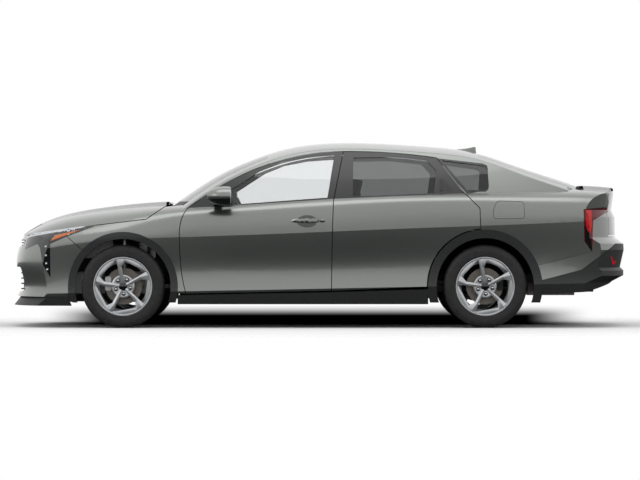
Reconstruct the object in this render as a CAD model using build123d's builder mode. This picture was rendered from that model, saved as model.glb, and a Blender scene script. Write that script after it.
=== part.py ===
from build123d import *
import os

os.makedirs("parts", exist_ok=True)

# Overall frame: front at -X, the car's left side at -Y, ground at Z 0, millimetres
WHEELBASE = 2720
FRONT_AXLE_X = -1480
REAR_AXLE_X = FRONT_AXLE_X + WHEELBASE
AXLE_Z = 312
TRACK = 1590
TYRE_RADIUS = 312
DISC_RADIUS = 138
STUB_RADIUS = 30
HUB_BORE_CLEARANCE = 0.05
WHEEL_OFFSET = 45

# Panel thicknesses and gaps
SHUT_GAP = 6
SEAT_GAP = 0.3
SKIN = 22
FRAME_SKIN = 18
CLADDING_PROUD = 9
GLASS_RECESS = 4
GLASS_THICKNESS = 5
DOOR_INNER_Y = 800
PILLAR_OUTER_Y = 765
PILLAR_INNER_Y = 705
SILL_OUTER_Y = 862

# Lower edge of the body and the outer limits of the working prisms
BODY_BOTTOM_Z = 150
BEYOND = 2600
ABOVE = 1700

# Wheel openings
ARCH_Z = 308
FRONT_OPENING_RADIUS = 360
FRONT_CLADDING_RADIUS = 413
REAR_OPENING_RADIUS = 366
REAR_CLADDING_RADIUS = 430
REAR_DOOR_ARCH_RADIUS = 437
LINER_OUTER_Y = 866
LINER_SKIN = 6
FRONT_LINER_RADIUS = 402
FRONT_LINER_INNER_Y = 500
REAR_LINER_RADIUS = 384
REAR_LINER_INNER_Y = 610
LINER_WALL_Z = 400

# Hinges
FRONT_DOOR_AXIS = (-944, -880)
REAR_DOOR_AXIS = (191, -900)
FRONT_HINGE_HEIGHTS = (620, 735)
REAR_HINGE_HEIGHTS = (700, 800)
HINGE_KNUCKLE_RADIUS = 8
HINGE_PIN_RADIUS = 5
HINGE_PIN_FIT = 0.05
HINGE_LEAF = 10
HINGE_SKIN = 6
HOOD_AXIS_X = -1060
HOOD_AXIS_Z = 890
LID_AXIS_X = 1870
LID_AXIS_Z = 1030
KINGPIN_Y = 655

# Door hinge places, trunk and hood edges, windscreen and rear window in plan
LID_FRONT_X = 1990
LID_HALF_WIDTH = 625
LID_BOTTOM_Z = 690
LID_SKIN = 25
HOOD_ARM_Y = 655
ROOF_SKIN = 20
HEADER_X = -410
ROOF_BACK_X = 1212
COWL_X = -1096
REAR_SCREEN_X = 1972
PILLAR_FOOT = (-990, -690)
HEADER_CORNER = (-395, -530)
ROOF_CORNER = (1205, -505)
SCREEN_CORNER = (1940, -575)

# Running gear
STRUT_RADIUS = 24
STRUT_TOP_Z = 740
TRACK_HALF = TRACK / 2

# Cabin
FLOOR_Z = 205
FLOOR_SKIN = 20
FLOOR_HALF_WIDTH = 690
FIREWALL_X = -1062
FIREWALL_TOP_Z = 880
TRUNK_FLOOR_Z = 335
TUB_BACK_X = 2120
TUB_BACK_Z = 660
TUNNEL_TOP_Z = 345
EXHAUST_Z = 290
PIVOT_X = 905
PIVOT_Z = 295
PIVOT_RADIUS = 30
EXHAUST_RADIUS = 25
RAIL_Y = 450
RAIL_Z = 470
SUBFRAME_TOP_Z = 250
ENGINE_BACK_X = -1300
SEAT_WIDTH = 500
STEERING_CENTRE = (-560, -375, 800)
STEERING_RADIUS = 185

# Body stations from nose to tail: each row holds the place along the car, the height on the
# centreline, then half width and height at the shoulder, the upper edge and the side crest, how
# sharp the crest is, half width and height at the hollow and the flare, and the sill half width
STATIONS = (
    (-2420, 585, (560, 540), (700, 470), (780, 440), 0.02, (770, 330), (776, 250), 740),
    (-2150, 785, (600, 735), (780, 660), (848, 575), 0.02, (832, 340), (842, 255), 810),
    (-1850, 881, (640, 822), (830, 728), (884, 628), 0.02, (866, 350), (880, 262), 845),
    (-1550, 925, (660, 865), (858, 762), (902, 660), 0.03, (880, 358), (900, 268), 862),
    (-1250, 951, (690, 900), (862, 825), (908, 675), 0.05, (884, 364), (906, 272), 868),
    (-950, 956, (770, 915), (862, 880), (914, 684), 0.09, (887, 373), (909, 277), 868),
    (-550, 968, (800, 938), (862, 910), (920, 698), 0.12, (888, 384), (911, 284), 868),
    (100, 1006, (800, 985), (862, 955), (925, 724), 0.12, (889, 403), (912, 297), 868),
    (750, 1040, (800, 1010), (862, 985), (924, 750), 0.12, (889, 422), (912, 310), 868),
    (1250, 1060, (770, 1018), (860, 985), (918, 768), 0.09, (888, 437), (910, 320), 866),
    (1700, 1075, (730, 1025), (850, 975), (904, 786), 0.05, (876, 450), (896, 329), 850),
    (2050, 1074, (700, 1020), (822, 965), (872, 800), 0.02, (845, 460), (858, 336), 820),
    (2420, 1020, (640, 965), (750, 915), (800, 800), 0.02, (775, 470), (782, 343), 745),
)
# Nose and tail by height: where the front and the rear face stand on the centreline
NOSE = (
    (50, -2345), (214, -2352), (330, -2320), (500, -2348), (650, -2310), (700, -2290), (900, -2215), (1250, -2100),
)
TAIL = (
    (50, 2140), (340, 2255), (390, 2349), (428, 2349), (452, 2322), (585, 2352), (632, 2349), (680, 2284),
    (832, 2282), (886, 2255), (1012, 2271), (1250, 2271),
)

# Greenhouse: heights of the side mould with its half width, and shares of that width along the car
CABIN_LEVELS = ((860, 903), (975, 845), (1110, 762), (1250, 668), (1400, 555), (1500, 465))
CABIN_PLAN = ((-1350, 0.88), (-700, 0.962), (300, 1.0), (1200, 0.955), (2200, 0.78))
# Greenhouse profile on the centreline, from the cowl over the roof to the tail deck
ROOF_LINE = (
    (-1250, 860), (-1110, 953), (-940, 1070), (-757, 1180), (-580, 1262), (-410, 1325), (-224, 1375),
    (105, 1412), (460, 1408), (800, 1388), (1054, 1364), (1208, 1336), (1513, 1238), (1849, 1128), (2120, 1035),
)
ROOF_CROWN = 62
RAIL_ROUND = 12

# Shut lines in side view
DOOR_FRONT_EDGE = ((-945, 937), (-1011, 876), (-1046, 790), (-1054, 640), (-1040, 420), (-1005, 256))
DOOR_SPLIT = ((86, 277), (89, 496), (98, 868), (102, 957))
SPLIT_TOP = (177, 1332)
FRONT_RAIL = ((-150, 1302), (-361, 1247), (-727, 1080))
REAR_RAIL = ((452, 1327), (678, 1310), (885, 1284))
REAR_DOOR_BACK = ((1092, 1008), (1199, 898))
FRONT_GLASS = ((56, 978), (-654, 926), (-672, 1040), (-437, 1190), (-285, 1251), (-103, 1286), (109, 1301))
REAR_GLASS = ((246, 986), (253, 1284), (560, 1290), (808, 1262), (880, 1185), (861, 1011))
QUARTER_GLASS = ((925, 1264), (1251, 1221), (1272, 1200), (1272, 1045), (1250, 1024), (1118, 1022))
HOOD_LINE = ((-2296, 690), (-2096, 707), (-1681, 772), (-1305, 816), (-1150, 931))
HOOD_REAR_X = -1150

FRONT_DOOR = (
    ("curve", DOOR_FRONT_EDGE),
    ("line", (DOOR_FRONT_EDGE[-1], DOOR_SPLIT[0])),
    ("curve", DOOR_SPLIT),
    ("line", (DOOR_SPLIT[-1], SPLIT_TOP)),
    ("curve", (SPLIT_TOP, *FRONT_RAIL, DOOR_FRONT_EDGE[0])),
)
ARCH_TOP = (REAR_AXLE_X - 34, ARCH_Z + (REAR_DOOR_ARCH_RADIUS**2 - 34**2) ** 0.5)
ARCH_FRONT = (REAR_AXLE_X - REAR_DOOR_ARCH_RADIUS, ARCH_Z)
ARCH_MIDDLE = (
    REAR_AXLE_X - REAR_DOOR_ARCH_RADIUS * 0.7071,
    ARCH_Z + REAR_DOOR_ARCH_RADIUS * 0.7071,
)
REAR_DOOR = (
    ("curve", DOOR_SPLIT),
    ("line", (DOOR_SPLIT[-1], SPLIT_TOP)),
    ("curve", (SPLIT_TOP, *REAR_RAIL)),
    ("line", (REAR_RAIL[-1], *REAR_DOOR_BACK, ARCH_TOP)),
    ("arc", (ARCH_TOP, ARCH_MIDDLE, ARCH_FRONT)),
    ("line", (ARCH_FRONT, DOOR_SPLIT[0])),
)


def shifted(shape, x, y, z):
    return shape.moved(Location((x, y, z)))


def grown(outline, amount):
    # Move every point of a closed outline outward along the mean of its two edge normals
    ring = [point for kind, points in outline for point in points[:-1]]
    count = len(ring)
    area = sum(ring[i - 1][0] * ring[i][1] - ring[i][0] * ring[i - 1][1] for i in range(count))
    side = 1 if area > 0 else -1
    normals = []
    for i in range(count):
        edge = (Vector(*ring[(i + 1) % count]) - Vector(*ring[i])).normalized()
        normals.append(Vector(edge.Y * side, -edge.X * side))
    moved = []
    for i in range(count):
        spread = (normals[i - 1] + normals[i]) / max(0.4, 1 + normals[i - 1].dot(normals[i]))
        moved.append((ring[i][0] + amount * spread.X, ring[i][1] + amount * spread.Y))
    result = []
    start = 0
    for kind, points in outline:
        last = start + len(points) - 1
        result.append((kind, [moved[i % count] for i in range(start, last + 1)]))
        start = last
    return result


def side_block(outline, grow=0, near=0, depth=1100):
    with BuildPart() as block:
        with BuildSketch(Plane.XZ.offset(near)):
            with BuildLine():
                for kind, points in grown(outline, grow):
                    if kind == "curve":
                        Spline(*points)
                    elif kind == "arc":
                        ThreePointArc(*points)
                    else:
                        Polyline(*points)
            make_face()
        extrude(amount=depth)
    return block.part


def closed(points):
    return (("line", (*points, points[0])),)


def plan_block(outline, low=0, high=ABOVE):
    with BuildPart() as block:
        with BuildSketch(Plane.XY.offset(low)):
            with BuildLine():
                for kind, points in outline:
                    if kind == "curve":
                        Spline(*points)
                    else:
                        Polyline(*points)
            make_face()
        extrude(amount=high - low)
    return block.part


def box_between(low, high):
    size = [b - a for a, b in zip(low, high)]
    with BuildPart() as block:
        with Locations(low):
            Box(*size, align=Align.MIN)
    return block.part


def wheel_cylinder(x, radius, y_from, y_to):
    with BuildPart() as round_block:
        with BuildSketch(Plane.XZ.offset(-y_from)):
            with Locations((x, ARCH_Z)):
                Circle(radius)
        extrude(amount=y_from - y_to)
    return round_block.part


def mirrored(shape):
    return mirror(shape, about=Plane.XZ)


def build_hull():
    with BuildPart() as sides:
        for x, top, shoulder, edge, crest, crease, hollow, flare, sill in STATIONS:
            with BuildSketch(Plane.YZ.offset(x)):
                with BuildLine():
                    foot = (-sill, BODY_BOTTOM_Z)
                    bend = (-flare[0], flare[1])
                    ridge = (-crest[0], crest[1])
                    crown = (-0.5 * shoulder[0], top - 0.18 * (top - shoulder[1]))
                    Line(foot, bend)
                    Spline(
                        bend, (-hollow[0], hollow[1]), ridge,
                        tangents=((0.45, 1), (-0.06 - 0.5 * crease, 1)),
                    )
                    Spline(
                        ridge, (-edge[0], edge[1]), (-shoulder[0], shoulder[1]), crown, (0, top),
                        tangents=((-0.06 + 0.5 * crease, 1), (1, 0)),
                    )
                    Polyline((0, top), (0, BODY_BOTTOM_Z), foot)
                make_face()
        loft()
    with BuildPart() as nose:
        for z, x in NOSE:
            with BuildSketch(Plane.XY.offset(z)):
                with BuildLine():
                    face = Spline(
                        (x, 0), (x + 22, -350), (x + 105, -640), (x + 300, -880), (x + 420, -980),
                        tangents=((0, -1), (0.8, -0.6)),
                    )
                    Polyline(face @ 1, (BEYOND, -980), (BEYOND, 60), (x, 60), (x, 0))
                make_face()
        loft()
    with BuildPart() as tail:
        for z, x in TAIL:
            with BuildSketch(Plane.XY.offset(z)):
                with BuildLine():
                    face = Spline(
                        (x, 0), (x - 22, -350), (x - 100, -640), (x - 270, -880), (x - 380, -980),
                        tangents=((0, -1), (-0.8, -0.6)),
                    )
                    Polyline(face @ 1, (-BEYOND, -980), (-BEYOND, 60), (x, 60), (x, 0))
                make_face()
        # The tail folds along level creases
        loft(ruled=True)
    return sides.part & nose.part & tail.part


def build_roof_mould():
    with BuildPart() as mould:
        for y in (-1000, -600, -300, 0, 300, 600, 1000):
            drop = ROOF_CROWN * (y / 600) ** 2
            with BuildSketch(Plane.XZ.offset(-y)):
                with BuildLine():
                    line = Spline(*((x, z - drop) for x, z in ROOF_LINE))
                    Polyline(line @ 1, (ROOF_LINE[-1][0], 600), (ROOF_LINE[0][0], 600), line @ 0)
                make_face()
        loft()
    return mould.part


def build_cabin_sides():
    with BuildPart() as mould:
        for z, half_width in CABIN_LEVELS:
            with BuildSketch(Plane.XY.offset(z)):
                with BuildLine():
                    line = Spline(*((x, -half_width * share) for x, share in CABIN_PLAN))
                    Polyline(line @ 1, (CABIN_PLAN[-1][0], 0), (CABIN_PLAN[0][0], 0), line @ 0)
                make_face()
        loft()
    return mould.part


def build_door(outline, glass, axis, hinge_heights, back_x):
    axis_x, axis_y = axis
    # Outer skin, as deep as the flange around the door
    with BuildPart() as door:
        add(hull)
        add(side_block(outline, -SHUT_GAP / 2), mode=Mode.INTERSECT)
        add(box_between((-BEYOND, -1000, 0), (BEYOND, -DOOR_INNER_Y, ABOVE)), mode=Mode.INTERSECT)
        add(shifted(hull, 0, SKIN, -0.7 * SKIN), mode=Mode.SUBTRACT)
    # Inner door, from just under the skin to the trim
    with BuildPart() as core:
        add(shifted(hull, 0, 5, -5))
        add(
            box_between((axis_x + 15, -1000, 0), (back_x, -DOOR_INNER_Y, ABOVE)),
            mode=Mode.INTERSECT,
        )
        add(side_block(outline, -28), mode=Mode.INTERSECT)
    with BuildPart() as frame:
        add(cabin)
        add(side_block(outline, -SHUT_GAP / 2), mode=Mode.INTERSECT)
        add(shifted(cabin, 0, FRAME_SKIN, -8), mode=Mode.SUBTRACT)
        add(side_block(closed(glass)), mode=Mode.SUBTRACT)
    with BuildPart() as whole:
        add(door.part)
        add(core.part)
        add(frame.part)
        add(side_block(closed(glass)), mode=Mode.SUBTRACT)
        for z in hinge_heights:
            reach = HINGE_KNUCKLE_RADIUS + HINGE_SKIN
            add(
                box_between(
                    (axis_x - 140, axis_y - reach, z - 28), (axis_x + 15, -DOOR_INNER_Y, z + 28)
                ),
                mode=Mode.SUBTRACT,
            )
            # Two ears carry the pin above and below the fixed leaf
            for ear_z in (z - 12 - HINGE_LEAF, z + 12):
                with BuildSketch(Plane.XY.offset(ear_z)):
                    with Locations((axis_x, axis_y)):
                        Circle(HINGE_KNUCKLE_RADIUS)
                    with Locations((axis_x + 12, axis_y)):
                        Rectangle(24, 2 * HINGE_KNUCKLE_RADIUS)
                extrude(amount=HINGE_LEAF)
                with BuildSketch(Plane.XY.offset(ear_z)):
                    with Locations((axis_x, axis_y)):
                        Circle(HINGE_PIN_RADIUS + HINGE_PIN_FIT)
                extrude(amount=HINGE_LEAF, mode=Mode.SUBTRACT)
    return whole.part


def build_pane(outline):
    with BuildPart() as pane:
        add(shifted(cabin, 0, GLASS_RECESS, -2))
        add(side_block(closed(outline), -SEAT_GAP), mode=Mode.INTERSECT)
        add(
            shifted(cabin, 0, GLASS_RECESS + GLASS_THICKNESS, -4),
            mode=Mode.SUBTRACT,
        )
    return pane.part


def build_hinge_leaves(axis, heights):
    axis_x, axis_y = axis
    with BuildPart() as leaves:
        for z in heights:
            with BuildSketch(Plane.XY.offset(z - HINGE_LEAF)):
                with Locations((axis_x, axis_y)):
                    Circle(HINGE_KNUCKLE_RADIUS)
                with Locations((axis_x, (axis_y - PILLAR_OUTER_Y) / 2 - 1)):
                    Rectangle(2 * HINGE_KNUCKLE_RADIUS, -PILLAR_OUTER_Y - axis_y + 2)
            extrude(amount=2 * HINGE_LEAF)
            with BuildSketch(Plane.XY.offset(z - 22)):
                with Locations((axis_x, axis_y)):
                    Circle(HINGE_PIN_RADIUS)
            extrude(amount=44)
    return leaves.part

# Lamp outlines in side view, and the line where the rear bumper meets the quarter panel
HEADLAMP = (
    (-1681, 775), (-2194, 697), (-2225, 661), (-2240, 586), (-2132, 630), (-2109, 600), (-2084, 477),
    (-2025, 377), (-2028, 630), (-1906, 684), (-1708, 758),
)
TAIL_LAMP = ((1979, 891), (2190, 908), (2190, 880), (2055, 806), (2045, 571), (1985, 650))
HEADLAMP_DEPTH = (60, 40, -10)
TAIL_LAMP_DEPTH = (-60, 40, -10)
LAMP_INNER_Y = 560
BUMPER_SEAM = ((-2296, 690), (-2096, 707), (-1930, 733), (-1895, 680), (-1780, 580))
REAR_SEAM = ((1640, 470), (2038, 571))
REAR_CORNER = ((2044, 812), (2190, 886), (BEYOND, 886))
SKIRT_LINE = ((1640, 351), (1966, 435), (2103, 534), (2240, 632), (BEYOND, 640))
SKIRT_BOTTOM = ((BEYOND, 387), (2349, 387), (2255, 340), (2017, 269), (1640, 250))
FENDER = (
    ("line", ((-1930, 733), (-1681, 772), (-1305, 816), (-1148, 931), (-1070, 946), DOOR_FRONT_EDGE[0])),
    ("curve", DOOR_FRONT_EDGE),
    ("line", (DOOR_FRONT_EDGE[-1], (-1070, 256), (-1480, 300), (-1780, 300), (-1780, 580), (-1895, 680), (-1930, 733))),
)
LIP_TOP_Z = 232
LIP_SETBACK = 25

QUARTER_PANEL = (
    (1000, 860), (1150, 850), (1206, 744), (1206, 500), *REAR_SEAM, *REAR_CORNER, (BEYOND, 1250), (1000, 1250),
)
REAR_PILLAR_X = 1880
DOOR_OPENING = (
    ("curve", (DOOR_FRONT_EDGE[0], *reversed(FRONT_RAIL), SPLIT_TOP, *REAR_RAIL)),
    ("line", (REAR_RAIL[-1], *REAR_DOOR_BACK, (1100, 850), (-1044, 850), (-1014, 879), (-982, 911), DOOR_FRONT_EDGE[0])),
)
PILLAR_PLAN = (
    ("line", ((-1300, -1000), (-1300, -690), PILLAR_FOOT, HEADER_CORNER, ROOF_CORNER, SCREEN_CORNER,
              (1990, -LID_HALF_WIDTH - SHUT_GAP), (BEYOND, -LID_HALF_WIDTH - SHUT_GAP), (BEYOND, -1000),
              (-1300, -1000))),
)


def build_body_side():
    plan = plan_block(PILLAR_PLAN)
    # The shoulder that the pillars stand on
    with BuildPart() as shoulder:
        add(shifted(hull, 0, 0, SEAT_GAP))
        add(box_between((-1310, -1000, 700), (REAR_PILLAR_X + 10, 0, ABOVE)), mode=Mode.INTERSECT)
    # Windscreen pillar, roof rail and rear pillar, standing on the shoulder of the body
    with BuildPart() as upper:
        add(cabin)
        add(box_between((-1300, -1000, 800), (REAR_PILLAR_X, 0, ABOVE)), mode=Mode.INTERSECT)
        add(shoulder.part, mode=Mode.SUBTRACT)
        add(plan, mode=Mode.INTERSECT)
        add(shifted(cabin, 0, 1.6 * FRAME_SKIN, -1.2 * FRAME_SKIN), mode=Mode.SUBTRACT)
        add(side_block(closed(QUARTER_GLASS)), mode=Mode.SUBTRACT)
        add(side_block(DOOR_OPENING, SHUT_GAP / 2), mode=Mode.SUBTRACT)
    # Quarter panel
    with BuildPart() as quarter:
        add(hull)
        add(box_between((900, -1000, 300), (BEYOND, 0, 1200)), mode=Mode.INTERSECT)
        add(shifted(hull, 0, SKIN, -0.8 * SKIN), mode=Mode.SUBTRACT)
        add(plan, mode=Mode.INTERSECT)
        add(side_block(closed(QUARTER_PANEL)), mode=Mode.INTERSECT)
        add(box_between((900, -625, 300), (1500, 0, 1200)), mode=Mode.SUBTRACT)
        add(wheel_cylinder(REAR_AXLE_X, REAR_CLADDING_RADIUS + SEAT_GAP, -1000, 0), mode=Mode.SUBTRACT)
        add(side_block(REAR_DOOR, SHUT_GAP / 2), mode=Mode.SUBTRACT)
        add(side_block(closed(TAIL_LAMP), SEAT_GAP, near=LAMP_INNER_Y), mode=Mode.SUBTRACT)
    with BuildPart() as side:
        add(upper.part)
        add(quarter.part)
    return side.part


def skin_of(low, high, shift):
    with BuildPart() as skin:
        add(hull)
        add(box_between(low, high), mode=Mode.INTERSECT)
        add(shifted(hull, *shift), mode=Mode.SUBTRACT)
    return skin.part


def build_fender():
    with BuildPart() as fender:
        add(skin_of((-1960, -1000, 200), (-900, -672, ABOVE), (0, 14, -4)))
        add(side_block(FENDER, -SHUT_GAP / 2), mode=Mode.INTERSECT)
        add(wheel_cylinder(FRONT_AXLE_X, FRONT_CLADDING_RADIUS + SEAT_GAP, -1000, 0), mode=Mode.SUBTRACT)
        add(side_block(closed(HEADLAMP), SEAT_GAP), mode=Mode.SUBTRACT)
    return fender.part


def build_hood():
    outline = (*HOOD_LINE, (HOOD_REAR_X, 1200), (-2500, 1200), (-2500, 690))
    with BuildPart() as half:
        add(skin_of((-2420, -1000, 400), (-1100, 60, ABOVE), (12, 12, -12)))
        add(side_block(closed(outline), -SHUT_GAP / 2, near=-100, depth=1100), mode=Mode.INTERSECT)
        add(side_block(closed(HEADLAMP), SHUT_GAP / 2, near=LAMP_INNER_Y), mode=Mode.SUBTRACT)
    return half.part


def build_front_bumper():
    outline = (*BUMPER_SEAM, (-1780, LIP_TOP_Z), (-2500, LIP_TOP_Z), (-2500, 690))
    with BuildPart() as half:
        add(skin_of((-2420, -1000, 180), (-1700, 60, ABOVE), (18, 18, -4)))
        add(side_block(closed(outline), -SHUT_GAP / 4, near=-100, depth=1100), mode=Mode.INTERSECT)
        add(wheel_cylinder(FRONT_AXLE_X, FRONT_CLADDING_RADIUS + SEAT_GAP, -1000, 0), mode=Mode.SUBTRACT)
        add(side_block(closed(HEADLAMP), SEAT_GAP, near=LAMP_INNER_Y), mode=Mode.SUBTRACT)
    return half.part


def build_rear_bumper():
    painted = (*REAR_SEAM, *REAR_CORNER, *reversed(SKIRT_LINE))
    with BuildPart() as shell:
        add(skin_of((1500, -1000, 180), (BEYOND, 60, 920), (-SKIN, SKIN, 0)))
        add(
            box_between((1500, -LID_HALF_WIDTH - SHUT_GAP, LID_BOTTOM_Z), (BEYOND, 60, ABOVE)),
            mode=Mode.SUBTRACT,
        )
        add(wheel_cylinder(REAR_AXLE_X, REAR_CLADDING_RADIUS + SEAT_GAP, -1000, 0), mode=Mode.SUBTRACT)
        add(side_block(closed(TAIL_LAMP), SEAT_GAP, near=LAMP_INNER_Y), mode=Mode.SUBTRACT)
    # Painted upper part
    with BuildPart() as upper:
        add(shell.part)
        add(side_block(closed(painted), -SHUT_GAP / 4, near=-100, depth=1100), mode=Mode.INTERSECT)
    # Black skirt below it
    with BuildPart() as skirt:
        add(shell.part)
        add(
            side_block(closed((*SKIRT_LINE, *SKIRT_BOTTOM)), -SHUT_GAP / 4, near=-100, depth=1100),
            mode=Mode.INTERSECT,
        )
    with BuildPart() as half:
        add(upper.part)
        add(skirt.part)
    return half.part


def build_lid():
    with BuildPart() as half:
        add(
            skin_of(
                (LID_FRONT_X, -LID_HALF_WIDTH, LID_BOTTOM_Z + SHUT_GAP),
                (BEYOND, 60, ABOVE),
                (-LID_SKIN, 0, -LID_SKIN),
            )
        )
        add(side_block(closed(TAIL_LAMP), SHUT_GAP, near=LAMP_INNER_Y), mode=Mode.SUBTRACT)
    return half.part


def build_lamp(outline, shift):
    ends = [x for x, z in outline]
    with BuildPart() as lamp:
        add(hull)
        add(
            box_between((min(ends) - 50, -1000, 300), (max(ends) + 50, -LAMP_INNER_Y, ABOVE)),
            mode=Mode.INTERSECT,
        )
        add(side_block(closed(outline), near=LAMP_INNER_Y), mode=Mode.INTERSECT)
        add(shifted(hull, *shift), mode=Mode.SUBTRACT)
    return lamp.part


def full_width(half):
    with BuildPart() as whole:
        add(half)
        mirror(about=Plane.XZ)
    return whole.part


def mould_layer(outline, top, thickness):
    with BuildPart() as layer:
        add(shifted(roof_mould, 0, 0, -top))
        add(plan_block(outline, low=700), mode=Mode.INTERSECT)
        add(shifted(roof_mould, 0, 0, -top - thickness), mode=Mode.SUBTRACT)
    return layer.part


def inset_point(point, grow=SEAT_GAP):
    return (point[0], point[1] + grow)


def across(point):
    return (point[0], -point[1])


def symmetric(front, back, front_x, back_x):
    return (
        ("curve", (front, (front_x, 0), across(front))),
        ("line", (across(front), across(back))),
        ("curve", (across(back), (back_x, 0), back)),
        ("line", (back, front)),
    )


def arch_ring(x, inner, outer):
    with BuildPart() as ring:
        add(shifted(hull, 0, -CLADDING_PROUD, 0))
        add(wheel_cylinder(x, outer, -1000, -700), mode=Mode.INTERSECT)
        add(wheel_cylinder(x, inner, -1000, -700), mode=Mode.SUBTRACT)
        add(
            box_between((-BEYOND, -LINER_OUTER_Y - SEAT_GAP, 0), (BEYOND, 0, ABOVE)),
            mode=Mode.SUBTRACT,
        )
        add(box_between((-BEYOND, -1000, 0), (BEYOND, 0, 190)), mode=Mode.SUBTRACT)
    return ring.part


SILL_COVER = ((-1068, 178), (-1068, 247), (-1005, 247), (90, 268), (812, 290), (812, 178))


def build_sill_cover():
    with BuildPart() as cover:
        add(shifted(hull, 0, -CLADDING_PROUD, 0))
        add(side_block(closed(SILL_COVER)), mode=Mode.INTERSECT)
        add(wheel_cylinder(FRONT_AXLE_X, FRONT_CLADDING_RADIUS + SEAT_GAP, -1000, 0), mode=Mode.SUBTRACT)
        add(wheel_cylinder(REAR_AXLE_X, REAR_CLADDING_RADIUS + SEAT_GAP, -1000, 0), mode=Mode.SUBTRACT)
        add(box_between((-BEYOND, -SILL_OUTER_Y, 0), (BEYOND, 100, ABOVE)), mode=Mode.SUBTRACT)
    return cover.part


def build_side_frame():
    with BuildPart() as frame:
        # Sill, front hinge pillar and lower centre pillar
        add(box_between((-1060, -SILL_OUTER_Y, 178), (800, -FLOOR_HALF_WIDTH, 246)))
        add(box_between((-1060, -PILLAR_OUTER_Y, 240), (-930, -PILLAR_INNER_Y, 880)))
        add(box_between((60, -PILLAR_OUTER_Y, 240), (205, -PILLAR_INNER_Y, 960)))
        # Upper centre pillar leans in with the side glass
        with BuildSketch(Plane.XY.offset(955)):
            with Locations((132, -(PILLAR_OUTER_Y + PILLAR_INNER_Y) / 2)):
                Rectangle(146, PILLAR_OUTER_Y - PILLAR_INNER_Y)
        with BuildSketch(Plane.XY.offset(1300)):
            with Locations((172, -572)):
                Rectangle(96, 34)
        loft()
        add(build_hinge_leaves(FRONT_DOOR_AXIS, FRONT_HINGE_HEIGHTS))
        add(build_hinge_leaves(REAR_DOOR_AXIS, REAR_HINGE_HEIGHTS))
    return frame.part


def liner_shell(x, radius, outer_y, inner_y):
    with BuildPart() as shell:
        add(wheel_cylinder(x, radius + LINER_SKIN, outer_y, inner_y))
        add(wheel_cylinder(x, radius, outer_y - 10, inner_y + 10), mode=Mode.SUBTRACT)
        add(box_between((-BEYOND, -1000, -400), (BEYOND, 0, 215)), mode=Mode.SUBTRACT)
    return shell.part


def build_liner_wall():
    # Inner wall of the rear wheel house, open below for the axle
    with BuildPart() as wall:
        add(
            wheel_cylinder(
                REAR_AXLE_X, REAR_LINER_RADIUS + LINER_SKIN, -REAR_LINER_INNER_Y - LINER_SKIN, -REAR_LINER_INNER_Y
            )
        )
        add(box_between((-BEYOND, -1000, -400), (BEYOND, 0, LINER_WALL_Z)), mode=Mode.SUBTRACT)
    return wall.part


def build_rim():
    barrel = (
        (221, -98), (221, -90), (204, -88), (202, -62), (181, -42), (181, 42), (202, 62), (204, 88), (221, 90),
        (221, 98), (212, 98), (195, 84), (193, 60), (172, 40), (172, -40), (193, -64), (196, -85), (212, -98),
    )
    with BuildPart() as rim:
        with BuildSketch(Plane.XY):
            with BuildLine():
                Polyline(*barrel, close=True)
            make_face()
        revolve(axis=Axis.Y)
        with BuildSketch(Plane.XZ.offset(WHEEL_OFFSET)):
            Circle(76)
        extrude(amount=32)
        for turn in range(5):
            with BuildSketch(Plane.XZ.rotated((0, 72 * turn, 0)).offset(62)):
                with BuildLine():
                    Polyline((-46, 40), (-30, 130), (-59, 190), (21, 198), (28, 120), (46, 40), close=True)
                make_face()
            extrude(amount=26)
        with BuildSketch(Plane.XZ):
            Circle(STUB_RADIUS + HUB_BORE_CLEARANCE)
        extrude(amount=120, mode=Mode.SUBTRACT)
    return rim.part


def build_tyre():
    half = ((204.4, 84), (262, 102.5), (TYRE_RADIUS, 80))
    profile = (*half, *((r, -y) for r, y in reversed(half)))
    with BuildPart() as tyre:
        with BuildSketch(Plane.XY):
            with BuildLine():
                Polyline(*profile, close=True)
            make_face()
        revolve(axis=Axis.Y)
    return tyre.part


def build_disc():
    profile = ((62, -WHEEL_OFFSET), (78, -WHEEL_OFFSET), (78, 14), (DISC_RADIUS, 14), (DISC_RADIUS, 36), (62, 36))
    with BuildPart() as disc:
        with BuildSketch(Plane.XY):
            with BuildLine():
                Polyline(*profile, close=True)
            make_face()
        revolve(axis=Axis.Y)
    return disc.part


def build_carrier(caliper_side):
    # Hub stub, carrier and the caliper that straddles the disc
    with BuildPart() as carrier:
        with BuildSketch(Plane.XZ.offset(-95)):
            Circle(STUB_RADIUS)
        extrude(amount=95 + WHEEL_OFFSET + 25)
        with BuildSketch(Plane.XZ.offset(-125)):
            RectangleRounded(130, 190, 30)
        extrude(amount=70)
        with BuildSketch(Plane.XZ.offset(-80)):
            with Locations((caliper_side * 116, 20)):
                RectangleRounded(46, 106, 14)
        extrude(amount=85)
        with BuildSketch(Plane.XZ.offset(-60)):
            with Locations((caliper_side * 80, 20)):
                Rectangle(80, 60)
        extrude(amount=-40)
        with BuildSketch(Plane.XZ.offset(-42)):
            Circle(DISC_RADIUS + 6)
        extrude(amount=34, mode=Mode.SUBTRACT)
        with BuildSketch(Plane.XZ.offset(-42)):
            Circle(STUB_RADIUS)
        extrude(amount=34)
    return carrier.part


hull = build_hull()
roof_mould = build_roof_mould()
cabin_corner = build_cabin_sides() & roof_mould
rail_edge = cabin_corner.edges().filter_by(lambda e: e.bounding_box().size.X > 2500).sort_by(Axis.Y)[1]
cabin = cabin_corner.fillet(RAIL_ROUND, [rail_edge])


def save(shape, name):
    shape.label = name
    export_step(shape, f"parts/{name}.step")


def save_pair(shape, name):
    save(shape, f"{name}_left")
    save(mirrored(shape), f"{name}_right")


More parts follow.
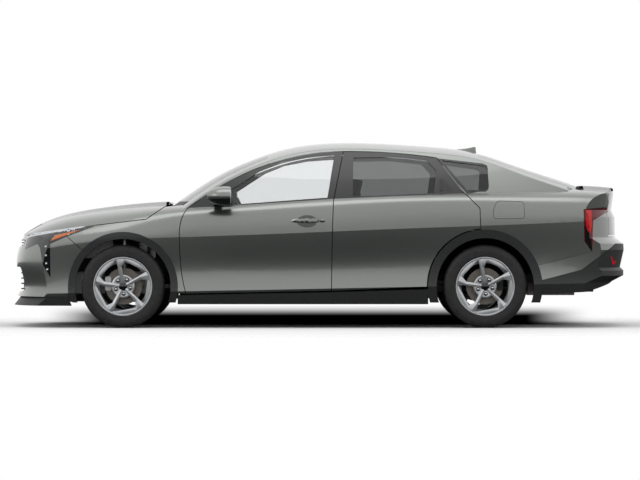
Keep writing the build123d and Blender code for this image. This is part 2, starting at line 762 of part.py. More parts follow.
# Painted body
save_pair(build_door(FRONT_DOOR, FRONT_GLASS, FRONT_DOOR_AXIS, FRONT_HINGE_HEIGHTS, 62), "door_front")
save_pair(build_door(REAR_DOOR, REAR_GLASS, REAR_DOOR_AXIS, REAR_HINGE_HEIGHTS, BEYOND), "door_rear")
save_pair(build_pane(FRONT_GLASS), "glass_front")
save_pair(build_pane(REAR_GLASS), "glass_rear")
save_pair(build_body_side(), "body_side")
save_pair(build_fender(), "fender")
save_pair(build_side_frame(), "side_frame")

with BuildPart() as quarter_glass:
    add(build_pane(QUARTER_GLASS))
    mirror(about=Plane.XZ)
save(quarter_glass.part, "quarter_glass")

with BuildPart() as arch_trim:
    add(arch_ring(FRONT_AXLE_X, FRONT_OPENING_RADIUS, FRONT_CLADDING_RADIUS))
    add(arch_ring(REAR_AXLE_X, REAR_OPENING_RADIUS, REAR_CLADDING_RADIUS))
    add(build_sill_cover())
    mirror(about=Plane.XZ)
save(arch_trim.part, "cladding")

with BuildPart() as roof:
    add(
        mould_layer(
            symmetric(inset_point(HEADER_CORNER), inset_point(ROOF_CORNER), HEADER_X, ROOF_BACK_X), 0, ROOF_SKIN
        )
    )
save(roof.part, "roof_panel")

with BuildPart() as windscreen:
    add(
        mould_layer(
            symmetric(
                inset_point(PILLAR_FOOT),
                (HEADER_CORNER[0] - SEAT_GAP, HEADER_CORNER[1] + SEAT_GAP),
                COWL_X,
                HEADER_X - SEAT_GAP,
            ),
            1,
            GLASS_THICKNESS,
        )
    )
save(windscreen.part, "windshield")

with BuildPart() as rear_screen:
    add(
        mould_layer(
            symmetric(
                (ROOF_CORNER[0] + SEAT_GAP, ROOF_CORNER[1] + SEAT_GAP),
                inset_point(SCREEN_CORNER),
                ROOF_BACK_X + SEAT_GAP,
                REAR_SCREEN_X,
            ),
            1,
            GLASS_THICKNESS,
        )
    )
save(rear_screen.part, "rear_window")

# Hood with two arms that reach back to the pivots beside the cowl
with BuildPart() as hood:
    add(full_width(build_hood()))
    for side in (-1, 1):
        with BuildSketch(Plane.XZ.offset(-side * HOOD_ARM_Y + 7)):
            with BuildLine():
                Polyline(
                    (-1330, 878), (-1330, 892), (-1180, 899), (-1158, 897), (HOOD_AXIS_X, HOOD_AXIS_Z + 14),
                    (HOOD_AXIS_X, HOOD_AXIS_Z - 14), (-1180, 868), close=True,
                )
            make_face()
            with Locations((HOOD_AXIS_X, HOOD_AXIS_Z)):
                Circle(14)
                Circle(HINGE_PIN_RADIUS + HINGE_PIN_FIT, mode=Mode.SUBTRACT)
        extrude(amount=-14)
save(hood.part, "hood")

# Trunk lid with gooseneck arms
with BuildPart() as lid:
    add(full_width(build_lid()))
    for side in (-1, 1):
        with BuildSketch(Plane.XZ.offset(-side * 540 + 6)):
            with BuildLine():
                path = Polyline(
                    (LID_AXIS_X, LID_AXIS_Z), (LID_AXIS_X - 8, LID_AXIS_Z - 150), (LID_AXIS_X + 90, LID_AXIS_Z - 180),
                    (LID_AXIS_X + 220, LID_AXIS_Z - 70), (LID_AXIS_X + 236, LID_AXIS_Z + 14),
                )
            trace(path, line_width=22)
            with Locations((LID_AXIS_X, LID_AXIS_Z)):
                Circle(13)
                Circle(HINGE_PIN_RADIUS + HINGE_PIN_FIT, mode=Mode.SUBTRACT)
        extrude(amount=-12)
save(lid.part, "trunk_lid")

with BuildPart() as front_bumper:
    add(full_width(build_front_bumper()))
    # Upper slot and lower intake
    with BuildSketch(Plane.YZ.offset(-BEYOND)):
        with Locations((0, 640)):
            RectangleRounded(1040, 56, 20)
        with Locations((0, 360)):
            RectangleRounded(1120, 190, 40)
    extrude(amount=450, mode=Mode.SUBTRACT)
save(front_bumper.part, "bumper_front")

with BuildPart() as front_lip:
    add(
        full_width(
            shifted(skin_of((-2420, -1000, 165), (-1800, 60, LIP_TOP_Z - SEAT_GAP), (18, 18, -4)), LIP_SETBACK, 0, 0)
            - wheel_cylinder(FRONT_AXLE_X, FRONT_CLADDING_RADIUS + SEAT_GAP, -1000, 0)
        )
    )
save(front_lip.part, "front_lip")

with BuildPart() as rear_bumper:
    add(full_width(build_rear_bumper()))
save(rear_bumper.part, "bumper_rear")

with BuildPart() as headlamps:
    add(build_lamp(HEADLAMP, HEADLAMP_DEPTH))
    mirror(about=Plane.XZ)
save(headlamps.part, "headlamps")

with BuildPart() as tail_lamps:
    add(build_lamp(TAIL_LAMP, TAIL_LAMP_DEPTH))
    mirror(about=Plane.XZ)
save(tail_lamps.part, "tail_lamps")

# Cowl under the windscreen with the wipers, and the shelf behind the rear seat
COWL_DROP = 1 + GLASS_THICKNESS + SEAT_GAP
COWL_HALF_WIDTH = 620
with BuildPart() as cowl:
    add(box_between((FIREWALL_X, -450, FIREWALL_TOP_Z + SEAT_GAP), (FIREWALL_X + FLOOR_SKIN, 450, ABOVE)))
    add(shifted(roof_mould, 0, 0, -COWL_DROP), mode=Mode.INTERSECT)
    add(
        mould_layer(
            closed(
                (
                    (HOOD_REAR_X + SHUT_GAP, -COWL_HALF_WIDTH), (-960, -COWL_HALF_WIDTH),
                    (-960, COWL_HALF_WIDTH), (HOOD_REAR_X + SHUT_GAP, COWL_HALF_WIDTH),
                )
            ),
            COWL_DROP,
            FLOOR_SKIN,
        )
    )
save(cowl.part, "cowl")

SHELF_TOP_Z = 1037
SHELF_HALF_WIDTH = 520
SHELF_WING_X = 1800
SHELF_WING_Y = 561.7
with BuildPart() as shelf:
    add(
        box_between(
            (1440, -SHELF_HALF_WIDTH, SHELF_TOP_Z - 15), (LID_FRONT_X - SHUT_GAP, SHELF_HALF_WIDTH, SHELF_TOP_Z)
        )
    )
    for side in (-1, 1):
        # Wings that reach the quarter panels, and brackets with the pins of the lid arms
        tip_y = side * (SHELF_WING_Y - SEAT_GAP)
        root_y = side * 480
        add(
            box_between(
                (SHELF_WING_X, min(tip_y, root_y), SHELF_TOP_Z - 8),
                (SHELF_WING_X + 40, max(tip_y, root_y), SHELF_TOP_Z + 19),
            )
        )
        bracket_y = side * 532
        add(
            box_between(
                (LID_AXIS_X - 20, min(bracket_y, root_y), LID_AXIS_Z - 20),
                (LID_AXIS_X + 20, max(bracket_y, root_y), LID_AXIS_Z + 22),
            )
        )
        with BuildSketch(Plane.XZ.offset(-side * 532)):
            with Locations((LID_AXIS_X, LID_AXIS_Z)):
                Circle(HINGE_PIN_RADIUS)
        extrude(amount=-side * 16)
save(shelf.part, "parcel_shelf")

# Floor, firewall and trunk tub
with BuildPart() as floor_pan:
    add(box_between((FIREWALL_X, -FLOOR_HALF_WIDTH, FLOOR_Z - FLOOR_SKIN), (800, FLOOR_HALF_WIDTH, FLOOR_Z)))
    add(box_between((FIREWALL_X, -110, FLOOR_Z - FLOOR_SKIN), (800, 110, TUNNEL_TOP_Z)))
    add(
        box_between((FIREWALL_X - 1, -85, 0), (801, 85, TUNNEL_TOP_Z - FLOOR_SKIN)),
        mode=Mode.SUBTRACT,
    )
save(floor_pan.part, "floor_pan")

with BuildPart() as firewall:
    add(box_between((FIREWALL_X, -640, FLOOR_Z), (FIREWALL_X + FLOOR_SKIN, 640, FIREWALL_TOP_Z)))
    add(box_between((FIREWALL_X - 1, -110.3, 0), (FIREWALL_X + 21, 110.3, TUNNEL_TOP_Z)), mode=Mode.SUBTRACT)
    for side in (-1, 1):
        # Ear with the hood pin
        low = min(side * 640, side * 626)
        add(box_between((FIREWALL_X - 10, low, FIREWALL_TOP_Z - 30), (FIREWALL_X + FLOOR_SKIN, low + 14, HOOD_AXIS_Z + 14)))
        with BuildSketch(Plane.XZ.offset(-side * 640)):
            with Locations((HOOD_AXIS_X, HOOD_AXIS_Z)):
                Circle(HINGE_PIN_RADIUS)
        extrude(amount=-side * 26)
save(firewall.part, "firewall")

with BuildPart() as trunk_tub:
    wall = REAR_LINER_INNER_Y - SEAT_GAP
    add(box_between((800, -wall, FLOOR_Z - FLOOR_SKIN), (820, wall, TRUNK_FLOOR_Z + FLOOR_SKIN)))
    add(box_between((800, -wall, TRUNK_FLOOR_Z), (TUB_BACK_X, wall, TRUNK_FLOOR_Z + FLOOR_SKIN)))
    for side in (-1, 1):
        low = min(side * wall, side * (wall - 12))
        add(box_between((1300, low, TRUNK_FLOOR_Z), (TUB_BACK_X, low + 12, TUB_BACK_Z)))
        add(box_between((1300, low, TRUNK_FLOOR_Z), (TUB_BACK_X - 40, low + 12, 940)))
        # Bracket over the front pivot of the rear axle
        low = min(side * 600, side * 665)
        add(
            box_between(
                (PIVOT_X - 25, low, PIVOT_Z + PIVOT_RADIUS + SEAT_GAP),
                (PIVOT_X + 25, low + 65, TRUNK_FLOOR_Z + FLOOR_SKIN),
            )
        )
    add(box_between((TUB_BACK_X - FLOOR_SKIN, -wall, TRUNK_FLOOR_Z), (TUB_BACK_X, wall, TUB_BACK_Z)))
    add(box_between((799, -86, 0), (821, 86, TRUNK_FLOOR_Z - 10)), mode=Mode.SUBTRACT)
save(trunk_tub.part, "trunk_tub")

# Front structure: rails, crash beam and strut towers
with BuildPart() as front_frame:
    for side in (-1, 1):
        low = min(side * (RAIL_Y - 30), side * (RAIL_Y + 30))
        add(box_between((-2200, low, RAIL_Z - 50), (FIREWALL_X, low + 60, RAIL_Z + 50)))
        wall_y = side * (FRONT_LINER_INNER_Y - SEAT_GAP)
        inner_y = side * (RAIL_Y + 10)
        add(
            box_between(
                (-1580, min(wall_y, inner_y), RAIL_Z), (-1380, max(wall_y, inner_y), STRUT_TOP_Z + 20)
            )
        )
        outer_y = side * (KINGPIN_Y + 50)
        add(
            box_between(
                (-1540, min(outer_y, inner_y), STRUT_TOP_Z + SEAT_GAP),
                (-1420, max(outer_y, inner_y), STRUT_TOP_Z + 20),
            )
        )
    add(box_between((-2240, -560, RAIL_Z - 50), (-2200, 560, RAIL_Z + 50)))
save(front_frame.part, "front_frame")

with BuildPart() as radiator:
    add(box_between((-2190, -RAIL_Y + 60, 260), (-2150, RAIL_Y - 60, 640)))
    add(box_between((-2199.7, -RAIL_Y + 60, RAIL_Z - 50), (-2150, RAIL_Y - 60, RAIL_Z + 50)))
save(radiator.part, "radiator")

with BuildPart() as engine:
    add(box_between((-1960, -370, SUBFRAME_TOP_Z + SEAT_GAP), (ENGINE_BACK_X, 370, 790)))
    fillet(engine.edges().filter_by(Axis.Z), radius=30)
save(engine.part, "engine")

# Front cross member with the lower arms that carry the knuckles
ARM_TOP_Z = AXLE_Z - 95 - SEAT_GAP
with BuildPart() as front_subframe:
    add(box_between((-1640, -RAIL_Y, ARM_TOP_Z - 30), (-1280, RAIL_Y, SUBFRAME_TOP_Z)))
    add(box_between((-1560, -RAIL_Y + 70, 0), (-1360, RAIL_Y - 70, 400)), mode=Mode.SUBTRACT)
    for side in (-1, 1):
        for x in (-1640, -1320):
            low = min(side * (RAIL_Y - 30), side * (RAIL_Y + 30))
            add(box_between((x, low, ARM_TOP_Z - 30), (x + 40, low + 60, RAIL_Z - 50)))
        with BuildSketch(Plane.XY.offset(ARM_TOP_Z - 22)):
            with BuildLine():
                Polyline(
                    (-1620, side * 440), (-1300, side * 440), (FRONT_AXLE_X + 30, side * (KINGPIN_Y + 20)),
                    (FRONT_AXLE_X - 30, side * (KINGPIN_Y + 20)), close=True,
                )
            make_face()
        extrude(amount=22)
save(front_subframe.part, "front_subframe")

# Wheels and what carries them
rim = build_rim()
tyre = build_tyre()
disc = build_disc()
for place, x in (("front", FRONT_AXLE_X), ("rear", REAR_AXLE_X)):
    for shape, name in ((rim, "rim"), (tyre, "tyre"), (disc, "disc")):
        save_pair(shifted(shape, x, -TRACK_HALF, AXLE_Z), f"{name}_{place}")

with BuildPart() as knuckle:
    add(shifted(build_carrier(-1), FRONT_AXLE_X, -TRACK_HALF, AXLE_Z))
    with BuildSketch(Plane.XY.offset(AXLE_Z - 95)):
        with Locations((FRONT_AXLE_X, -KINGPIN_Y)):
            Circle(STRUT_RADIUS)
    extrude(amount=STRUT_TOP_Z - AXLE_Z + 95)
    add(box_between((FRONT_AXLE_X - 40, -TRACK_HALF + 60, AXLE_Z - 95), (FRONT_AXLE_X + 40, -KINGPIN_Y, AXLE_Z + 60)))
save_pair(knuckle.part, "knuckle")

with BuildPart() as rear_axle:
    carrier = shifted(build_carrier(1), REAR_AXLE_X, -TRACK_HALF, AXLE_Z)
    add(carrier)
    add(box_between((PIVOT_X, -668, 275), (REAR_AXLE_X + 40, -630, 315)))
    add(box_between((REAR_AXLE_X - 40, -690, 270), (REAR_AXLE_X + 40, -640, 360)))
    with BuildSketch(Plane.XZ.offset(630)):
        with Locations((PIVOT_X, PIVOT_Z)):
            Circle(PIVOT_RADIUS)
    extrude(amount=38)
    mirror(about=Plane.XZ)
    with BuildSketch(Plane.XZ.offset(-640)):
        with Locations((1060, 225)):
            Circle(30)
    extrude(amount=1280)
    for side in (-1, 1):
        low = min(side * 630, side * 668)
        add(box_between((1030, low, 225), (1090, low + 38, 300)))
save(rear_axle.part, "rear_axle")

with BuildPart() as liners:
    add(liner_shell(FRONT_AXLE_X, FRONT_LINER_RADIUS, -LINER_OUTER_Y, -FRONT_LINER_INNER_Y))
    # The strut passes through the top of the front liner
    with BuildSketch(Plane.XY.offset(AXLE_Z)):
        with Locations((FRONT_AXLE_X, -KINGPIN_Y)):
            Circle(STRUT_RADIUS + SHUT_GAP)
    extrude(amount=STRUT_TOP_Z, mode=Mode.SUBTRACT)
    add(liner_shell(REAR_AXLE_X, REAR_LINER_RADIUS, -LINER_OUTER_Y, -REAR_LINER_INNER_Y))
    add(build_liner_wall())
    mirror(about=Plane.XZ)
save(liners.part, "wheel_liners")

with BuildPart() as exhaust:
    with BuildSketch(Plane.YZ.offset(ENGINE_BACK_X + SEAT_GAP)):
        with Locations((0, EXHAUST_Z)):
            Circle(EXHAUST_RADIUS)
    extrude(amount=1600 - ENGINE_BACK_X)
    add(box_between((1600, -260, 235), (1960, 260, TRUNK_FLOOR_Z - SEAT_GAP)))
    with BuildSketch(Plane.YZ.offset(1960)):
        with Locations((-200, 285)):
            Circle(EXHAUST_RADIUS)
    extrude(amount=150)
save(exhaust.part, "exhaust")

# Cabin
with BuildPart() as dashboard:
    with BuildSketch(Plane.XZ.offset(-660)):
        with BuildLine():
            Polyline(
                (FIREWALL_X + 20, 560), (FIREWALL_X + 20, 870), (-900, 900), (-790, 860), (-740, 760), (-780, 620),
                (-860, 540), close=True,
            )
        make_face()
    extrude(amount=1320)
    column = Plane(origin=STEERING_CENTRE, x_dir=(0, 1, 0), z_dir=(0.9135, 0, 0.4067))
    with BuildSketch(column.offset(-60)):
        Circle(40)
    extrude(amount=-170)
    with BuildSketch(column.offset(-25)):
        Circle(12)
    extrude(amount=-60)
save(dashboard.part, "dashboard")

with BuildPart() as steering_wheel:
    with BuildSketch(Plane(origin=STEERING_CENTRE, x_dir=(0, 1, 0), z_dir=(0.9135, 0, 0.4067)).offset(-14)):
        Circle(STEERING_RADIUS + 14)
        Circle(STEERING_RADIUS - 14, mode=Mode.SUBTRACT)
        Circle(62)
        Rectangle(2 * STEERING_RADIUS, 44)
        with Locations((0, -STEERING_RADIUS / 2)):
            Rectangle(50, STEERING_RADIUS)
    extrude(amount=28)
    with BuildSketch(Plane(origin=STEERING_CENTRE, x_dir=(0, 1, 0), z_dir=(0.9135, 0, 0.4067)).offset(-54)):
        Circle(30)
        Circle(12 + 0.1, mode=Mode.SUBTRACT)
    extrude(amount=40)
save(steering_wheel.part, "steering_wheel")

FRONT_SEAT = (
    (-330, FLOOR_Z + SEAT_GAP), (-330, 420), (-390, 470), (20, 440), (130, 690), (190, 960), (225, 1120), (320, 1120),
    (310, 950), (280, 700), (170, 380), (110, FLOOR_Z + SEAT_GAP),
)
REAR_SEAT = (
    (690, TRUNK_FLOOR_Z + FLOOR_SKIN + SEAT_GAP), (650, 490), (1090, 450), (1290, 960), (1420, 960), (1250, 370),
    (1250, TRUNK_FLOOR_Z + FLOOR_SKIN + SEAT_GAP),
)
with BuildPart() as seats:
    for outline, y_near, width in (
        (FRONT_SEAT, 375 - SEAT_WIDTH / 2, SEAT_WIDTH),
        (FRONT_SEAT, -375 - SEAT_WIDTH / 2, SEAT_WIDTH),
        (REAR_SEAT, -590, 1180),
    ):
        with BuildSketch(Plane.XZ.offset(y_near)):
            with BuildLine():
                Polyline(*outline, close=True)
            make_face()
        extrude(amount=width)
save(seats.part, "seats")

# Door mirrors on the front corner of the side glass
with BuildPart() as mirror_shell:
    with BuildSketch(Plane.YZ.offset(-845)):
        with Locations((-955, 990)):
            Ellipse(45, 32)
    with BuildSketch(Plane.YZ.offset(-770)):
        with Locations((-962, 988)):
            Ellipse(98, 66)
    with BuildSketch(Plane.YZ.offset(-668)):
        with Locations((-965, 988)):
            Ellipse(104, 70)
    loft()
    add(box_between((-800, -900, 925), (-740, -780, 955)))
    add(shifted(cabin, 0, -SEAT_GAP, 0), mode=Mode.SUBTRACT)
    add(shifted(hull, 0, -SEAT_GAP, SEAT_GAP), mode=Mode.SUBTRACT)
save_pair(mirror_shell.part, "mirror")

with BuildPart() as grille:
    for z in (620, 640, 660):
        add(box_between((-2275, -500, z - 4), (-2255, 500, z + 4)))
    for z in (290, 330, 370, 410):
        add(box_between((-2275, -540, z - 5), (-2255, 540, z + 5)))
    for y, top in ((-480, 580), (-240, 670), (0, 670), (240, 670), (480, 580)):
        add(box_between((-2260, y - 8, 270), (-2240.3, y + 8, top)))
save(grille.part, "grille")
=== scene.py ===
import math
import bmesh
import bpy
from mathutils import Matrix, Vector
from mathutils.bvhtree import BVHTree


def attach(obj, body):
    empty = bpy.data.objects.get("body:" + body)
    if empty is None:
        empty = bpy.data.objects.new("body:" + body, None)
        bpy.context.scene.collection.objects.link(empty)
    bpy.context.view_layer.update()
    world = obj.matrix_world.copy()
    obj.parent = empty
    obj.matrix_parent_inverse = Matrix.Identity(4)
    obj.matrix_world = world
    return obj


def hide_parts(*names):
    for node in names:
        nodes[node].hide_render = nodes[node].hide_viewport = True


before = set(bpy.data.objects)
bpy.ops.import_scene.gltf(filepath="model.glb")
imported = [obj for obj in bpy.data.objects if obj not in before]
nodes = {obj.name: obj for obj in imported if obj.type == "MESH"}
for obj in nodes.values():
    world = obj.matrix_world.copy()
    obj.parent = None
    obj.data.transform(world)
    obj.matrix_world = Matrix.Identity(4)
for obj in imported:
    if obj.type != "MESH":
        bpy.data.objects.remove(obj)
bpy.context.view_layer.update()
scene = bpy.context.scene
scene.view_settings.view_transform = "Standard"
sides = ("left", "right")
ends = ("front", "rear")
corners = [(end, side) for end in ends for side in sides]
print("frame loaded,", len(nodes), "nodes")


def linear(hexColour):  # sRGB hex to linear RGBA
    parts = [int(hexColour[i:i + 2], 16) / 255 for i in (1, 3, 5)]
    return [c / 12.92 if c <= 0.04045 else ((c + 0.055) / 1.055) ** 2.4 for c in parts] + [1.0]


def addNode(tree, kind, settings=None, links=None):
    node = tree.nodes.new(kind)
    for key, value in (settings or {}).items():
        if isinstance(key, int) or key in node.inputs.keys():
            node.inputs[key].default_value = value
        else:
            setattr(node, key, value)
    for key, socket in (links or {}).items():
        tree.links.new(socket, node.inputs[key])
    return node


def grainTone(tree, shader, tones, grainMm):  # colour that drifts between two tones
    place = addNode(tree, "ShaderNodeTexCoord")
    noise = addNode(tree, "ShaderNodeTexNoise", {"Scale": 1000 / grainMm, "Detail": 3},
                    {"Vector": place.outputs["Object"]})
    ramp = addNode(tree, "ShaderNodeValToRGB", None, {"Fac": noise.outputs["Fac"]})
    for element, position, tone in zip(ramp.color_ramp.elements, (0.35, 0.65), tones):
        element.position = position
        element.color = linear(tone)
    tree.links.new(ramp.outputs["Color"], shader.inputs["Base Color"])


def grainBump(tree, shader, grainMm, depthMm, strength):
    place = addNode(tree, "ShaderNodeTexCoord")
    noise = addNode(tree, "ShaderNodeTexNoise", {"Scale": 1000 / grainMm, "Detail": 4},
                    {"Vector": place.outputs["Object"]})
    bump = addNode(tree, "ShaderNodeBump", {"Strength": strength, "Distance": depthMm / 1000},
                   {"Height": noise.outputs["Fac"]})
    tree.links.new(bump.outputs["Normal"], shader.inputs["Normal"])


def shaderOf(material):
    return material.node_tree, material.node_tree.nodes["Principled BSDF"]


# tone is two colours and a grain in mm; bump is a grain in mm, a depth in mm and a strength
def newMaterial(name, settings, tone=None, bump=None):
    material = bpy.data.materials.new(name)
    material.use_nodes = True
    tree, shader = shaderOf(material)
    for key, value in settings.items():
        shader.inputs[key].default_value = value
    if tone:
        grainTone(tree, shader, *tone)
    if bump:
        grainBump(tree, shader, *bump)
    return material


# two-coat metallic paint: mid grey flake under clear lacquer, broad soft reflections, sharp gloss on top
paintCoat = {"Metallic": 0.85, "Roughness": 0.3, "Coat Weight": 0.7, "Coat Roughness": 0.05, "Coat IOR": 1.5}
paintTone = (("#7e817e", "#868986"), 2.5)  # flake is finer, drawn coarse enough to show
greyPaint = newMaterial("greyMetallicPaint", paintCoat, paintTone)

# the same paint darkened, as painted shade for the pull cups, which are flat patches and not cut in
cupShadePaint = newMaterial(
    "shadedGreyPaint", {"Metallic": 0.6, "Roughness": 0.36, "Coat Weight": 0.6, "Coat Roughness": 0.06},
    (("#4b4d4c", "#535554"), 2.5))

# moulded black polypropylene: matt, finely grained, goes grey where it turns to the light
claddingPlastic = newMaterial(
    "mouldedBlackPolypropylene", {"Roughness": 0.52, "Specular IOR Level": 0.45},
    (("#232425", "#2a2b2c"), 9), (2.2, 0.12, 0.35))

# needled felt in the wheel houses: dull black, darkened past the felt's own black as painted shade in the
# wheel houses, takes no gloss
linerFeltAndShade = newMaterial(
    "needledBlackFelt", {"Roughness": 0.95, "Specular IOR Level": 0.1},
    (("#070708", "#0c0c0d"), 6), (2.0, 0.3, 0.4))

# satin black lacquer on the window frames: dark with a soft sheen
frameCoat = {"Roughness": 0.3, "Coat Weight": 0.3, "Coat Roughness": 0.1}
frameTone = (("#141516", "#18191a"), 12)
frameBlack = newMaterial("satinBlackLacquer", frameCoat, frameTone)

# gloss black polycarbonate inside the lamps and on the rear door corner
glossBlack = newMaterial(
    "glossBlackPolycarbonate", {"Roughness": 0.1, "Coat Weight": 0.6, "Coat Roughness": 0.03},
    (("#0d0e0f", "#131415"), 15))

# toughened soda-lime glass, clear and neutral
paneGlass = {"Roughness": 0.0, "IOR": 1.45, "Transmission Weight": 1.0}
clearGlass = newMaterial("clearSafetyGlass", {**paneGlass, "Base Color": linear("#eef0f0")})
# privacy glass, tinted in the melt: grey, still see-through
tintedGlass = newMaterial("greyPrivacyGlass", {**paneGlass, "Base Color": linear("#9b9d9d")})
# sloping panes, which the side view looks through at a shallow angle: tinted darker as painted shade, with an
# anti-glare coat
shadedGlass = newMaterial(
    "shadeTintedSlopingGlass",
    {**paneGlass, "Base Color": linear("#6a6e6e"), "Roughness": 0.02, "Specular IOR Level": 0.12})

# tyre rubber: carbon black, matt, slightly dusty
tyreRubber = newMaterial(
    "vulcanisedRubber", {"Roughness": 0.62, "Specular IOR Level": 0.4},
    (("#222222", "#2b2b2a"), 25), (3.0, 0.2, 0.3))

# cast alloy wheel in silver paint: bright metal with a soft clear coat
silverAlloy = newMaterial(
    "silverPaintedAlloy", {"Metallic": 0.7, "Roughness": 0.34, "Coat Weight": 0.5, "Coat Roughness": 0.08},
    (("#bcbec0", "#c6c8ca"), 3))

# machined cast iron: warm grey, lightly mottled
discIron = newMaterial("machinedCastIron", {"Metallic": 0.9, "Roughness": 0.42}, (("#77716b", "#8a847e"), 5))

# die-cast aluminium: bright, slightly rough
castAluminium = newMaterial(
    "dieCastAluminium", {"Metallic": 0.9, "Roughness": 0.38}, (("#c3c4c4", "#d2d2d1"), 4), (2.5, 0.15, 0.3))

# bright plated steel of the wheel nuts
brightSteel = newMaterial("platedSteel", {"Metallic": 1.0, "Roughness": 0.22}, (("#c6c7c8", "#d2d3d4"), 6))

# electro-coated pressed steel under the car: dull black, mottled
underSteel = newMaterial(
    "electrocoatedSteel", {"Roughness": 0.6}, (("#191a1b", "#222324"), 40), (6, 0.2, 0.3))

# stainless exhaust tube: pale metal, lightly heat tinted
exhaustSteel = newMaterial(
    "stainlessExhaustSteel", {"Metallic": 1.0, "Roughness": 0.33}, (("#8f8a83", "#a5a29d"), 35))

# soft-touch cabin plastic: charcoal, pebbled
cabinPlastic = newMaterial(
    "softTouchCabinPlastic", {"Roughness": 0.6}, (("#2b2c2e", "#333437"), 14), (1.6, 0.15, 0.4))

# woven seat cloth: charcoal, matt with a little fuzz on edges, its threads drawn coarse enough to show
weave = {"threadMm": 4, "depthMm": 0.6, "strength": 0.4}
seatCloth = newMaterial(
    "wovenSeatCloth", {"Roughness": 0.85, "Sheen Weight": 0.3, "Sheen Roughness": 0.5},
    (("#26272a", "#35373a"), 4))
tree, shader = shaderOf(seatCloth)
place = addNode(tree, "ShaderNodeTexCoord")
threadScale = 1000 / weave["threadMm"] / math.tau
across, along = [
    addNode(tree, "ShaderNodeTexWave", {"Scale": threadScale, "bands_direction": axis},
            {"Vector": place.outputs["Object"]}) for axis in "YZ"]
crossing = addNode(tree, "ShaderNodeMath", {"operation": "MULTIPLY"},
                   {0: across.outputs["Fac"], 1: along.outputs["Fac"]})
bump = addNode(tree, "ShaderNodeBump", {"Strength": weave["strength"], "Distance": weave["depthMm"] / 1000},
               {"Height": crossing.outputs[0]})
tree.links.new(bump.outputs["Normal"], shader.inputs["Normal"])

# lamp parts: silver reflector, amber, red and white lenses
reflectorSilver = newMaterial(
    "metallisedReflector", {"Metallic": 0.7, "Roughness": 0.2}, (("#c4c7cc", "#d4d7dc"), 12))
lensAmber = newMaterial(
    "amberPolycarbonate", {"Roughness": 0.12, "Coat Weight": 0.6, "Coat Roughness": 0.03},
    (("#b85a12", "#cf6a18"), 7))
redLens = {"Roughness": 0.2, "Specular IOR Level": 0.25, "Coat Weight": 0.12, "Coat Roughness": 0.03}
lensRed = newMaterial("redPolycarbonate", redLens, (("#5c080b", "#6d0d11"), 7))
lensBrightRed = newMaterial("brightRedPolycarbonate", redLens, (("#c4151c", "#d8262b"), 9))
ledWhite = newMaterial("ledLensWhite", {"Roughness": 0.1, "Coat Weight": 0.5}, (("#d9e0e2", "#edf2f3"), 3))
print("materials made")


def finishPiece(name, mesh, material, body, sharpDeg=35, merge=1e-5):
    bmesh.ops.remove_doubles(mesh, verts=mesh.verts[:], dist=merge)
    bmesh.ops.recalc_face_normals(mesh, faces=mesh.faces[:])
    data = bpy.data.meshes.new(name)
    mesh.to_mesh(data)
    mesh.free()
    data.shade_smooth()
    data.set_sharp_from_angle(angle=math.radians(sharpDeg))
    data.materials.append(material)
    piece = bpy.data.objects.new(name, data)
    scene.collection.objects.link(piece)
    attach(piece, body)
    return piece


def soften(piece, levels):
    modifier = piece.modifiers.new("soften", "SUBSURF")
    modifier.levels = modifier.render_levels = levels


def thicken(mesh, faces, move):  # closes a sheet into a shell
    shell = bmesh.ops.extrude_face_region(mesh, geom=faces)
    bmesh.ops.translate(mesh, verts=[v for v in shell["geom"] if isinstance(v, bmesh.types.BMVert)], vec=move)


def roundOff(mesh, geom, offset, segments, affect="EDGES"):
    bmesh.ops.bevel(mesh, geom=geom, offset=offset, affect=affect, segments=segments, profile=0.5,
                    material=-1)


def joinColumns(mesh, columns):  # faces between neighbouring columns of vertices
    for first, second in zip(columns, columns[1:]):
        for k in range(len(first) - 1):
            mesh.faces.new((first[k], first[k + 1], second[k + 1], second[k]))


def setMaterials(node, *materials):
    data = nodes[node].data
    data.materials.clear()
    for material in materials:
        data.materials.append(material)
    return data


# plain finishes on the CAD nodes
nodeFinish = {
    greyPaint: ["hood", "trunk_lid", "roof_panel", "bumper_front", "fender_left", "fender_right"],
    claddingPlastic: ["cladding", "front_lip", "cowl"],
    linerFeltAndShade: ["wheel_liners"],
    glossBlack: ["grille", "headlamps"],
    clearGlass: ["glass_front_left", "glass_front_right"],
    shadedGlass: ["windshield", "rear_window"],
    tintedGlass: ["quarter_glass", "glass_rear_left", "glass_rear_right"],
    lensRed: ["tail_lamps"],
    tyreRubber: [f"tyre_{end}_{side}" for end, side in corners],
    silverAlloy: [f"rim_{end}_{side}" for end, side in corners],
    discIron: [f"disc_{end}_{side}" for end, side in corners],
    castAluminium: ["knuckle_left", "knuckle_right", "engine", "radiator"],
    underSteel: ["rear_axle", "front_subframe", "front_frame", "floor_pan", "trunk_tub", "firewall",
                 "side_frame_left", "side_frame_right"],
    exhaustSteel: ["exhaust"],
    cabinPlastic: ["dashboard", "steering_wheel", "parcel_shelf"],
    seatCloth: ["seats"],
}
for material, names in nodeFinish.items():
    for name in names:
        setMaterials(name, material)


def twoFinish(name, maskOf):  # paint that gives way to the black lacquer where the mask is 1
    material = newMaterial(name, paintCoat, paintTone)
    tree, paintShader = shaderOf(material)
    frameShader = addNode(tree, "ShaderNodeBsdfPrincipled", frameCoat)
    grainTone(tree, frameShader, *frameTone)
    place = addNode(tree, "ShaderNodeTexCoord")
    mask = maskOf(tree, place.outputs["Object"])
    mix = addNode(tree, "ShaderNodeMixShader", None,
                  {0: mask.outputs[0], 1: paintShader.outputs[0], 2: frameShader.outputs[0]})
    tree.links.new(mix.outputs[0], tree.nodes["Material Output"].inputs["Surface"])
    return material


# doors: paint below the belt line, satin black window frame above it
beltLine = {
    "points": [(-1.05, 0.895), (-0.87, 0.903), (-0.669, 0.914), (0.109, 0.966), (1.092, 1.008), (1.4, 1.02)],
    "above": 0.004,
}


